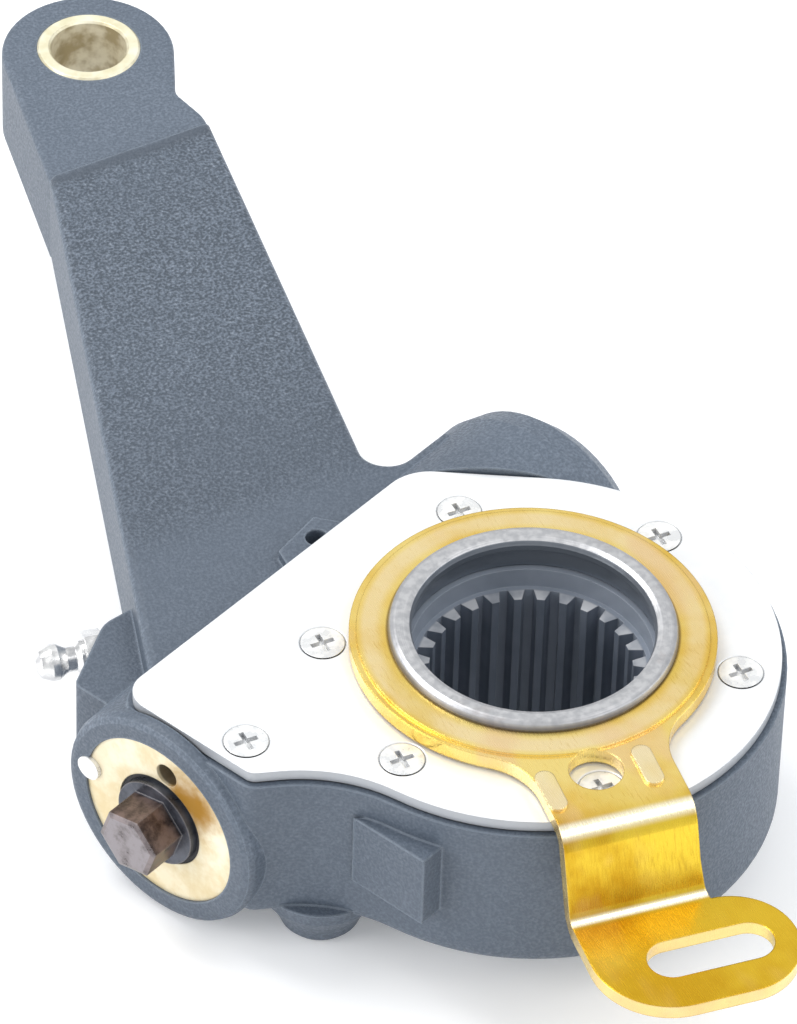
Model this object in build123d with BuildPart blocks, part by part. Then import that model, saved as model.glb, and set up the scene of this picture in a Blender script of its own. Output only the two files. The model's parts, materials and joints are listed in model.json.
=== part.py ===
"""Automatic brake slack adjuster: a cast lever with a worm drive, an adjusting train and a control arm.

Millimetres. +Z runs along the camshaft bore towards the cover plate, +Y along the lever to the clevis eye.
The origin is on the bore axis, on the lower face of the hub collar.
"""

import os
from math import acos, atan2, cos, pi, radians, sin, sqrt, tan

from build123d import *

# Heights of the main levels
DRUM_FLOOR = 8.0
SEAT_Z = 39.4
GASKET_T = 0.4
PLATE_BOTTOM = SEAT_Z + GASKET_T
PLATE_T = 2.0
PLATE_TOP = PLATE_BOTTOM + PLATE_T
RUN_GAP = 0.05
FACE_GAP = 0.1
PRESS_GAP = 0.02
TIP_GAP = 0.6
REFERENCE_TIP_GAP = 0.5

# Cuts that run out of the part, and the inset of the middle point of a three-point round
CUT_REACH = 60.0
ROUND_INSET = 0.3

# Flat steps in each turn of a thread and of a spring, and how far a thread's foot goes into its core
THREAD_STEPS = 14
COIL_STEPS = 12
THREAD_SINK = 0.3

# Drum and hub collar round the camshaft, and how far the collar goes into the drum
DRUM_LIP = 1.0
DRUM_FLOOR_FILLET = 4.5
COLLAR_R = 28.0
COLLAR_SINK = 1.0

# Worm drive
WORM_ANGLE = 23.32
WORM_Z = 21.0
WORM_CENTRES = 33.0
WHEEL_TEETH = 25
WHEEL_MODULE = 2.0
WORM_PRESSURE = radians(20)
WORM_BACKLASH = 0.35
WORM_TURNS = 4
WHEEL_PITCH_R = WHEEL_TEETH * WHEEL_MODULE / 2
WORM_PITCH_R = WORM_CENTRES - WHEEL_PITCH_R
WHEEL_ADDENDUM = 1.7
WORM_ADDENDUM = 1.8
ROOT_CLEARANCE = 0.3
WHEEL_TIP_R = WHEEL_PITCH_R + WHEEL_ADDENDUM
WHEEL_ROOT_R = WHEEL_PITCH_R - WORM_ADDENDUM - ROOT_CLEARANCE
WORM_TIP_R = WORM_PITCH_R + WORM_ADDENDUM
WORM_ROOT_R = WORM_PITCH_R - WHEEL_ADDENDUM - ROOT_CLEARANCE
WORM_LEAD = pi * WHEEL_MODULE
WHEEL_FACE = 17.0

# Worm wheel hub, with the camshaft spline inside
SPLINE_TEETH = 28
SPLINE_ROOT_R = 19.8
SPLINE_TIP_R = 17.3
SPLINE_MOUTH = 2.58
SPLINE_FLOOR = 1.5
SPLINE_TOP = 36.3
JOURNAL_R = 24.0
JOURNAL_TOP = 11.0
NECK_R = 22.3
NECK_TOP = 40.2
NECK_BORE_R = 20.6
WHEEL_BOTTOM = 0.3

# Worm boss and what runs in it, as distances along the worm axis
BOSS_FRONT_R = 20.5
BOSS_FRONT_ROUND = 1.5
BOSS_REAR_R = 22.2
BOSS_REAR_ROUND = 10.0
BOSS_FRONT = 57.5
BOSS_REAR = 49.5
BOSS_FOOT_Z = 0.2
FRONT_BORE_R = 14.4
FRONT_BORE_END = 28.6
WORM_BORE_R = 10.6
SPRING_POCKET_END = 43.5
COVER_R = 16.2
COVER_RECESS = 0.5
COVER_T = 4.0
SHAFT_R = 5.6
SHAFT_COLLAR_R = 8.1
SHAFT_SEAL_R = 8.9
SHAFT_SEAL_LIP = 1.0
SHAFT_SEAL_INSET = 0.3
HEX_ACROSS_FLATS = 11.0
HEX_END = 65.3
HEX_TURN = -12.0
HEX_CHAMFER = 0.8
LOCK_PIN_R = 2.3
COVER_KEY_HOLE_R = 2.2
COVER_KEY_HOLE_PLACE = (1.5, -11.2)
COVER_KEY_HOLE_DEPTH = 3.6

# Clutch wheel on the worm shaft and the adjuster screw that drives it
CLUTCH_TEETH = 16
CLUTCH_MODULE = 1.5
CLUTCH_FACE = 9.0
CLUTCH_ADDENDUM = 1.2
SCREW_STARTS = 2
SCREW_BACKLASH = 0.35
SCREW_LENGTH = 13.6

# Reference gear on the control arm and its pinion over the adjuster screw
GEAR_MODULE = 1.5
REFERENCE_TEETH = 41
PINION_TEETH = 11
GEAR_PRESSURE = radians(25)
GEAR_ADDENDUM = 1.2
GEAR_BACKLASH = 0.2
GEAR_BOTTOM = 31.6
GEAR_TOP = 39.6
ADJUSTER_ANGLE = 183.0
GEAR_POCKET_FLOOR = 31.2

# Cover plate and its screws
PLATE_R = 42.0
LOBE_SIDE = 44.0
LOBE_END = 54.7
LOBE_CORNER = 15.0
LOBE_CORNER_R = 5.0
LOBE_LOWER_R = 2.5
APEX_ANGLE = 60.3
APEX_FILLET = 9.0
LOBE_SLOPE = 41.0
LOBE_CORNER_SHARE = tan(radians(45 - LOBE_SLOPE / 2))
BLEND_R = 28.0
PLATE_BORE_R = 25.6
SCREW_CIRCLE_R = 35.3
SCREW_ANGLES = (25.5, 84.0, 154.0, 205.5, 262.0, 325.0)
LOBE_SCREW = (-53.5, -0.5)
SCREW_R = 2.0
SCREW_HEAD_R = 3.8
SCREW_LENGTH_TOTAL = 9.5
SCREW_END_GAP = 0.4
SCREW_HOLE_GAP = 0.2
SCREW_HEAD_GAP = 0.3
SCREW_CROSS = 4.2
SCREW_CROSS_WIDTH = 0.9
SCREW_CROSS_DEPTH = 1.1
SEAT_MARGIN = 0.4
GASKET_INSET = 0.3
GASKET_GEAR_GAP = 0.7
GASKET_PINION_GAP = 0.8

# Lever and clevis eye
LEVER_LENGTH = 180.0
LEVER_TOP = 38.3
LEVER_BOTTOM = 20.3
LEVER_TOP_ROUND = 1.6
LEVER_NECK = 31.5
LEVER_NECK_LEFT = 22.0
LEVER_NECK_RIGHT = 10.7
LEVER_NECK_RISE = 2.0
LEVER_ROOT_LEFT = 60.4
LEVER_ROOT_Y = 21.9
LEVER_ROOT_N = 48.7
LEVER_ROOT_S = 16.1
LEVER_ROOT_ROUND = 5.0
LEVER_HEEL = 46.0
LEVER_TOE = 34.0
EYE_R = 15.8
EYE_TOP = 37.3
EYE_BOTTOM = 19.3
EYE_ROUND = 1.0
EYE_SHIFT = (-0.4, -0.6)
EYE_OVERLAP = 4.0
EYE_SHOULDER = 26.0
EYE_SHOULDER_X = 11.0
EYE_SHOULDER_ROUND = 9.0
EYE_NOTCH = 18.0
EYE_NOTCH_X = 9.2
EYE_NOTCH_ROUND = 4.0
EYE_RIM_START = 1.0
BUSH_R = 9.5
BUSH_BORE_R = 7.0
BUSH_PROUD = 0.3
BUSH_CHAMFER = 0.4

# Control arm
ARM_ANGLE = 263.1
ARM_T = 2.6
ARM_BOTTOM = 42.3
ARM_RING_R = 31.0
ARM_HALF_WIDTH = 11.7
ARM_KNEE_U = 46.5
ARM_ANKLE_U = 51.8
ARM_FOOT_TOP = 29.0
ARM_BEND_R = 2.5
FOOT_END_U = 75.2
FOOT_TIP_V = 12.5
FOOT_TIP_R = 11.0
FOOT_HEEL_R = 13.5
SLOT_LENGTH = 22.0
SLOT_WIDTH = 8.3
SLOT_U = 64.3
SLOT_V = 8.3
ARM_STRIP_START = -40.0
ARM_STRIP_END = 80.0
ARM_STRIP_HALF_WIDTH = 45.0
ARM_NECK_ROUND = 12.0
FOOT_FLARE = 2.0
ARM_HOLE_PLACE = (34.1, -1.3)
ARM_HOLE_R = 4.6
ARM_PAD_PLACES = ((36.7, -10.2), (35.8, 7.1))
ARM_PAD_LENGTH = 6.0
ARM_PAD_WIDTH = 3.4
ARM_CUT_SINK = 5.0

# Sleeve that joins the control arm to the reference gear
SLEEVE_R = 23.5
SLEEVE_BORE_R = NECK_R + RUN_GAP
SLEEVE_LIP_R = 24.5
SLEEVE_MOUTH_R = 20.5
SLEEVE_TOP = 47.0
SLEEVE_ROUND = 1.2
SLEEVE_LIP_DEPTH = 2.2
SLEEVE_UNDERCUT = 1.0
NECK_END_GAP = 0.3

# Smaller fitted pieces
LOWER_SEAL_Z = 2.0
LOWER_SEAL_T = 2.0
LOWER_SEAL_R = 25.8
COVER_BACK = BOSS_FRONT - COVER_RECESS - COVER_T
COLLAR_PROUD = 0.8
COLLAR_FRONT = BOSS_FRONT + COLLAR_PROUD
RACE_T = 1.4
RACE_FIT_GAP = 0.1
RACE_FREE_GAP = 0.4
ROLLERS = 12
ROLLER_R = 1.5
ROLLER_LENGTH = 6.0
ROLLER_INSET = 7.0
ROLLER_S = COVER_BACK - FACE_GAP - RACE_T - RUN_GAP - ROLLER_R
RACE_BACK = ROLLER_S - ROLLER_R - RUN_GAP - RACE_T
FLANGE_R = 9.9
FLANGE_FRONT = 32.0
FLANGE_BACK = 28.0
CLUTCH_HUB_R = 9.8
REAR_BUSH_FRONT = 17.0
REAR_BUSH_LENGTH = 8.0
REAR_BUSH_GAP = 0.5
SHAFT_END = 25.6
SPRING_SEAT_T = 2.0
SPRING_SEAT_GAP = 0.3
SPRING_SIDE_GAP = 0.6
SPRING_START = SHAFT_END + 2 * FACE_GAP + SPRING_SEAT_T
SPRING_TURNS = 4
SPRING_WIRE = 2.4
LOCK_PIN_PLACE = (-15.5, -2.3)
LOCK_PIN_PROUD = 0.3
LOCK_PIN_HOLE_OUT = 1.0
LOCK_PIN_FRONT = -BOSS_FRONT - LOCK_PIN_PROUD
LOCK_PIN_LENGTH = COVER_RECESS + COVER_T + LOCK_PIN_PROUD - FACE_GAP
SCREW_FOOT_Z = 6.0
SCREW_BORE_FLOOR = 11.5
SCREW_BODY_BOTTOM = 12.6
SCREW_JOURNAL_R = 3.6
SCREW_NOSE_R = 4.2
CLUTCH_SPRING_R = 5.7
CLUTCH_SPRING_TURNS = 5
CLUTCH_SPRING_WIRE = 1.0
PINION_WEB = 0.8
ADJUSTER_WASHER_GAP = 0.2
ADJUSTER_BOSS_Z = 0.3
ADJUSTER_BOSS_R = 6.0
ADJUSTER_BOSS_FLARE = 5.0
ADJUSTER_BOSS_SHIFT = Vector(-2.7, -3.6, 0)
ADJUSTER_BOSS_SINK = 3.0
ADJUSTER_BOSS_CURVE = ((0, 0), (0.18, 0.1), (0.32, 0.28), (0.56, 0.5), (0.88, 0.74), (1, 1))
NIPPLE_BLOCK_TOP = 32.0
NIPPLE_BLOCK_BOTTOM = 14.0
NIPPLE_BLOCK_END = 50.8
NIPPLE_BLOCK_N = 57.8
NIPPLE_BLOCK_FOOT = 11.0
NIPPLE_BLOCK_START = 40.0
NIPPLE_BLOCK_INNER = (-48.0, 47.0)
NIPPLE_BLOCK_SIDE = (-59.0, 44.4)
NIPPLE_BLOCK_ROUND = 6.0
NIPPLE_BLOCK_EDGE = 1.5
NIPPLE_ANGLE = 170.0
NIPPLE_SEAT = (-59.4, 43.5, 26.0)
NIPPLE_SPOT_R = 4.9
NIPPLE_STEM_R = 2.5
NIPPLE_STEM_LENGTH = 5.0
NIPPLE_END_GAP = 0.3
NIPPLE_HEX_ACROSS_FLATS = 8.0
NIPPLE_HEX_HEIGHT = 3.4
# Radius and height at the corners of the nipple, from its shoulder to the tip of its ball
NIPPLE_PROFILE = ((3.0, 4.2), (2.2, 5.0), (2.2, 6.6), (3.2, 8.2), (3.2, 9.4), (2.4, 11.2), (1.2, 12.0))
GREASE_HOLE_R = 1.5
GREASE_HOLE_LENGTH = 40.0
RIB_TOP = 34.0
RIB_BOTTOM = 19.4
RIB_REACH = 47.5
RIB_ANGLE = 221.4
RIB_WIDTH = 4.8
RIB_SLANT = 1.5
RIB_SINK = 5.5
RIB_LENGTH = 14.7
RIB_START_OUT = 0.65
LUG_TOP = 40.3
LUG_REACH = 5.4
LUG_FRONT = 9.7
LUG_REAR = 2.8
LUG_GAP = 0.5
LUG_SINK = 3.0
LUG_FRONT_SPREAD = 1.8
LUG_FRONT_FALL = 1.2
LUG_REAR_CUT = 2.1
LUG_REAR_RISE = 0.9
LUG_HOLE_OUT = 1.6
LUG_HOLE_R = 2.0
LUG_HOLE_DEPTH = 6.0
ANNULUS_R = 29.8
ANNULUS_RISE = 0.5
REFERENCE_PITCH_R = REFERENCE_TEETH * GEAR_MODULE / 2
REFERENCE_TIP_R = REFERENCE_PITCH_R + GEAR_ADDENDUM
PINION_TIP_R = PINION_TEETH * GEAR_MODULE / 2 + GEAR_ADDENDUM
PINION_ROOT_R = PINION_TEETH * GEAR_MODULE / 2 - GEAR_ADDENDUM - ROOT_CLEARANCE
THREAD_WIDTH = pi * WHEEL_MODULE / 2 - WORM_BACKLASH
SCREW_WIDTH = pi * CLUTCH_MODULE / 2 - SCREW_BACKLASH

# Directions of the worm axis and of the line square to it
WORM_DIR = Vector(cos(radians(WORM_ANGLE)), sin(radians(WORM_ANGLE)), 0)
SIDE_DIR = Vector(-WORM_DIR.Y, WORM_DIR.X, 0)
WORM_PLANE = Plane(origin=SIDE_DIR * WORM_CENTRES + Vector(0, 0, WORM_Z), x_dir=-SIDE_DIR, z_dir=WORM_DIR)
WORM_AXIS = Axis(WORM_PLANE.origin, WORM_DIR)

NIPPLE_DIR = Vector(cos(radians(NIPPLE_ANGLE)), sin(radians(NIPPLE_ANGLE)), 0)
NIPPLE_PLANE = Plane(origin=NIPPLE_SEAT, x_dir=(0, 0, 1), z_dir=NIPPLE_DIR)

GEAR_CENTRES = (REFERENCE_TEETH + PINION_TEETH) * GEAR_MODULE / 2
ADJUSTER = Vector(cos(radians(ADJUSTER_ANGLE)), sin(radians(ADJUSTER_ANGLE)), 0) * GEAR_CENTRES
ADJUSTER_S = ADJUSTER.dot(WORM_DIR)
SCREW_CENTRES = WORM_CENTRES - ADJUSTER.dot(SIDE_DIR)
CLUTCH_PITCH_R = CLUTCH_TEETH * CLUTCH_MODULE / 2
SCREW_PITCH_R = SCREW_CENTRES - CLUTCH_PITCH_R
SCREW_LEAD = SCREW_STARTS * pi * CLUTCH_MODULE
SCREW_TIP_R = SCREW_PITCH_R + CLUTCH_ADDENDUM
SCREW_ROOT_R = SCREW_PITCH_R - CLUTCH_ADDENDUM - ROOT_CLEARANCE
CLUTCH_TIP_R = CLUTCH_PITCH_R + CLUTCH_ADDENDUM
CLUTCH_ROOT_R = CLUTCH_PITCH_R - CLUTCH_ADDENDUM - ROOT_CLEARANCE
ARM_DIR = Vector(cos(radians(ARM_ANGLE)), sin(radians(ARM_ANGLE)), 0)
ARM_SIDE = Vector(-ARM_DIR.Y, ARM_DIR.X, 0)


def worm_point(s, n):
    """Plan point at s along the worm axis and n square to it from the bore."""
    point = WORM_DIR * s + SIDE_DIR * n
    return (point.X, point.Y)


def arm_point(u, v):
    """Plan point at u outwards along the control arm and v to its side."""
    point = ARM_DIR * u + ARM_SIDE * v
    return (point.X, point.Y)


def gear_points(teeth, module, pressure, thickness, root_r, tip_r, turn):
    """Outline of a gear with involute flanks; the first tooth is centred turn radians from the X axis."""
    pitch_r = teeth * module / 2
    base_r = pitch_r * cos(pressure)
    half_angle = thickness / (2 * pitch_r) + tan(pressure) - pressure
    start_r = max(base_r, root_r)
    radii = [start_r, (start_r + tip_r) / 2, tip_r]
    flank = []
    if root_r < base_r:
        flank.append((root_r, half_angle))
    for radius in radii:
        roll = acos(base_r / radius)
        flank.append((radius, half_angle - tan(roll) + roll))
    points = []
    for tooth in range(teeth):
        centre = turn + tooth * 2 * pi / teeth
        points += [(r * cos(centre - a), r * sin(centre - a)) for r, a in flank]
        points += [(r * cos(centre + a), r * sin(centre + a)) for r, a in reversed(flank)]
    return points


def wound(profile, lead, turns, steps):
    """Solid of a (radius, height) profile wound right-handed about the Z axis."""
    with BuildPart() as winding:
        for step in range(steps + 1):
            angle = 2 * pi * turns * step / steps
            radial = Vector(cos(angle), sin(angle), 0)
            across = Vector(sin(angle), -cos(angle), 0)
            origin = (0, 0, lead * turns * step / steps)
            with BuildSketch(Plane(origin=origin, x_dir=radial, z_dir=across)):
                with BuildLine():
                    Polyline(*profile, close=True)
                make_face()
        loft(ruled=True)
    return winding.part


def screw_thread(lead, starts, root_r, tip_r, root_width, tip_width, bottom, length, first_angle):
    """Helical ridges about the Z axis; the first one starts at first_angle at height bottom."""
    turns = length / lead
    profile = [
        (root_r - THREAD_SINK, -root_width / 2),
        (tip_r, -tip_width / 2),
        (tip_r, tip_width / 2),
        (root_r - THREAD_SINK, root_width / 2),
    ]
    ridge = wound(profile, lead, turns, round(THREAD_STEPS * turns))
    with BuildPart() as ridges:
        with Locations((0, 0, bottom)):
            with PolarLocations(0, starts, start_angle=first_angle):
                add(ridge)
    return ridges.part


def spline_points():
    """Outline of the camshaft spline: the shape cut out of the wheel hub."""
    gap_mouth = SPLINE_MOUTH / 2 / SPLINE_TIP_R
    gap_floor = SPLINE_FLOOR / 2 / SPLINE_ROOT_R
    points = []
    for tooth in range(SPLINE_TEETH):
        centre = tooth * 2 * pi / SPLINE_TEETH
        for radius, angle in (
            (SPLINE_TIP_R, centre - gap_mouth),
            (SPLINE_ROOT_R, centre - gap_floor),
            (SPLINE_ROOT_R, centre + gap_floor),
            (SPLINE_TIP_R, centre + gap_mouth),
        ):
            points.append((radius * cos(angle), radius * sin(angle)))
    return points


def coil(length, turns, inner_r, radial, axial):
    """Spring of square wire standing on the XY plane."""
    profile = [(inner_r, 0), (inner_r + radial, 0), (inner_r + radial, axial), (inner_r, axial)]
    return wound(profile, (length - axial) / turns, turns, round(COIL_STEPS * turns))


def tangent_touch(point, centre, radius, side):
    """Point of a circle where a line from an outside point touches it, on the side given by +1 or -1."""
    away = Vector(*point) - Vector(*centre)
    turn = side * acos(radius / away.length)
    arm = away.normalized() * radius
    return (
        centre[0] + arm.X * cos(turn) - arm.Y * sin(turn),
        centre[1] + arm.X * sin(turn) + arm.Y * cos(turn),
    )


def plate_corners(grow):
    """Sharp corners of the cover plate in plan: apex, upper lobe corner and lower lobe corner."""
    side = LOBE_SIDE + grow
    edge_r = PLATE_R + grow
    apex_s = (edge_r - side * cos(radians(WORM_ANGLE + 90 - APEX_ANGLE))) / cos(
        radians(APEX_ANGLE - WORM_ANGLE)
    )
    return [
        worm_point(apex_s, side),
        worm_point(-LOBE_END - grow, side),
        worm_point(-LOBE_END - grow, LOBE_CORNER - grow * LOBE_CORNER_SHARE),
    ]


def plate_face(grow):
    """Outline of the cover plate in plan, grown by a margin."""
    edge_r = PLATE_R + grow
    blend_r = BLEND_R - grow
    touch = Vector(cos(radians(APEX_ANGLE)), sin(radians(APEX_ANGLE)), 0) * edge_r
    apex, upper, lower = plate_corners(grow)
    outward = SIDE_DIR.rotate(Axis.Z, 180 - LOBE_SLOPE)
    along = outward.rotate(Axis.Z, 90)
    reach = outward.dot(Vector(*lower))
    slide = -sqrt((edge_r + blend_r) ** 2 - (reach + blend_r) ** 2)
    blend_centre = outward * (reach + blend_r) + along * slide
    leave = outward * reach + along * slide
    meet = blend_centre * (edge_r / (edge_r + blend_r))
    far_side = Vector(cos(radians(APEX_ANGLE - 90)), sin(radians(APEX_ANGLE - 90)), 0) * edge_r
    blend_middle = blend_centre + ((leave + meet) / 2 - blend_centre).normalized() * blend_r
    with BuildSketch() as face:
        with BuildLine():
            FilletPolyline(
                touch,
                apex,
                upper,
                lower,
                leave,
                radius=[APEX_FILLET + grow, LOBE_CORNER_R + grow, LOBE_LOWER_R + grow],
            )
            ThreePointArc(leave, blend_middle, meet)
            ThreePointArc(meet, far_side, touch)
        make_face()
    return face.sketch


def screw_places():
    """Plan places of the cover screws."""
    places = [
        (SCREW_CIRCLE_R * cos(radians(a)), SCREW_CIRCLE_R * sin(radians(a))) for a in SCREW_ANGLES
    ]
    places.append(LOBE_SCREW)
    return places


os.makedirs("parts", exist_ok=True)


def keep(name, builder):
    """Label a finished piece and write its file."""
    builder.part.label = name
    export_step(builder.part, f"parts/{name}.step")


# Lever blank, with the clevis eye
NECK_Y = LEVER_LENGTH - LEVER_NECK
NECK_LEFT = (-LEVER_NECK_LEFT, NECK_Y)
NECK_RIGHT = (LEVER_NECK_RIGHT, NECK_Y + LEVER_NECK_RISE)
LEVER_ROOT = worm_point(LEVER_ROOT_S, LEVER_ROOT_N)
with BuildPart() as lever:
    with BuildSketch(Plane.XY.offset(LEVER_BOTTOM)) as lever_face:
        with BuildLine():
            Polyline(
                NECK_LEFT,
                (-LEVER_ROOT_LEFT, LEVER_ROOT_Y),
                worm_point(-LEVER_HEEL, WORM_CENTRES),
                worm_point(0, WORM_CENTRES),
                worm_point(LEVER_TOE, WORM_CENTRES),
                worm_point(LEVER_TOE, LEVER_ROOT_N),
                LEVER_ROOT,
                NECK_RIGHT,
                close=True,
            )
        make_face()
        fillet(lever_face.vertices().sort_by_distance(LEVER_ROOT)[0], LEVER_ROOT_ROUND)
    extrude(amount=LEVER_TOP - LEVER_BOTTOM)
    top_edges = lever.edges().group_by(Axis.Z)[-1]
    left_middle = ((NECK_LEFT[0] - LEVER_ROOT_LEFT) / 2, (NECK_LEFT[1] + LEVER_ROOT_Y) / 2, LEVER_TOP)
    right_middle = ((NECK_RIGHT[0] + LEVER_ROOT[0]) / 2, (NECK_RIGHT[1] + LEVER_ROOT[1]) / 2, LEVER_TOP)
    left_edge = top_edges.sort_by_distance(left_middle)[0]
    right_edge = top_edges.sort_by_distance(right_middle)[0]
    fillet([left_edge, right_edge], LEVER_TOP_ROUND)

EYE_CENTRE = (EYE_SHIFT[0], LEVER_LENGTH + EYE_SHIFT[1])
EYE_NOTCH_POINT = (EYE_NOTCH_X, LEVER_LENGTH - EYE_NOTCH)
EYE_LEFT = tangent_touch(NECK_LEFT, EYE_CENTRE, EYE_R, -1)
EYE_RIGHT = tangent_touch(EYE_NOTCH_POINT, EYE_CENTRE, EYE_R, 1)
with BuildPart() as eye:
    with BuildSketch(Plane.XY.offset(EYE_BOTTOM)):
        with BuildLine():
            FilletPolyline(
                EYE_RIGHT,
                EYE_NOTCH_POINT,
                (EYE_SHOULDER_X, LEVER_LENGTH - EYE_SHOULDER),
                NECK_RIGHT,
                (NECK_RIGHT[0] - EYE_OVERLAP, NECK_Y - EYE_OVERLAP),
                (NECK_LEFT[0] + EYE_OVERLAP, NECK_Y - EYE_OVERLAP),
                NECK_LEFT,
                EYE_LEFT,
                radius=[EYE_NOTCH_ROUND, EYE_SHOULDER_ROUND, 0, 0, 0, 0],
            )
            ThreePointArc(EYE_LEFT, (EYE_CENTRE[0], EYE_CENTRE[1] + EYE_R), EYE_RIGHT)
        make_face()
    extrude(amount=EYE_TOP - EYE_BOTTOM)
    eye_top = eye.edges().group_by(Axis.Z)[-1]
    eye_rim = eye_top.filter_by(lambda edge: edge.center().Y > NECK_Y + EYE_RIM_START)
    fillet(eye_rim, EYE_ROUND)

# Housing casting
with BuildPart() as worm_boss:
    front_round = BOSS_FRONT_ROUND
    rear_round = BOSS_REAR_ROUND
    with BuildSketch(Plane(origin=WORM_PLANE.origin, x_dir=WORM_DIR, z_dir=(0, 0, -1))):
        with BuildLine():
            Polyline(
                (-BOSS_FRONT, 0),
                (BOSS_REAR, 0),
                *[
                    (
                        BOSS_REAR - rear_round * (1 - cos(radians(a))),
                        BOSS_REAR_R - rear_round * (1 - sin(radians(a))),
                    )
                    for a in (0, 30, 60, 90)
                ],
                (-BOSS_FRONT + front_round, BOSS_FRONT_R),
                (-BOSS_FRONT + ROUND_INSET * front_round, BOSS_FRONT_R - ROUND_INSET * front_round),
                (-BOSS_FRONT, BOSS_FRONT_R - front_round),
                close=True,
            )
        make_face()
    revolve(axis=WORM_AXIS)
    split(bisect_by=Plane.XY.offset(BOSS_FOOT_Z), keep=Keep.TOP)

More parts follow.
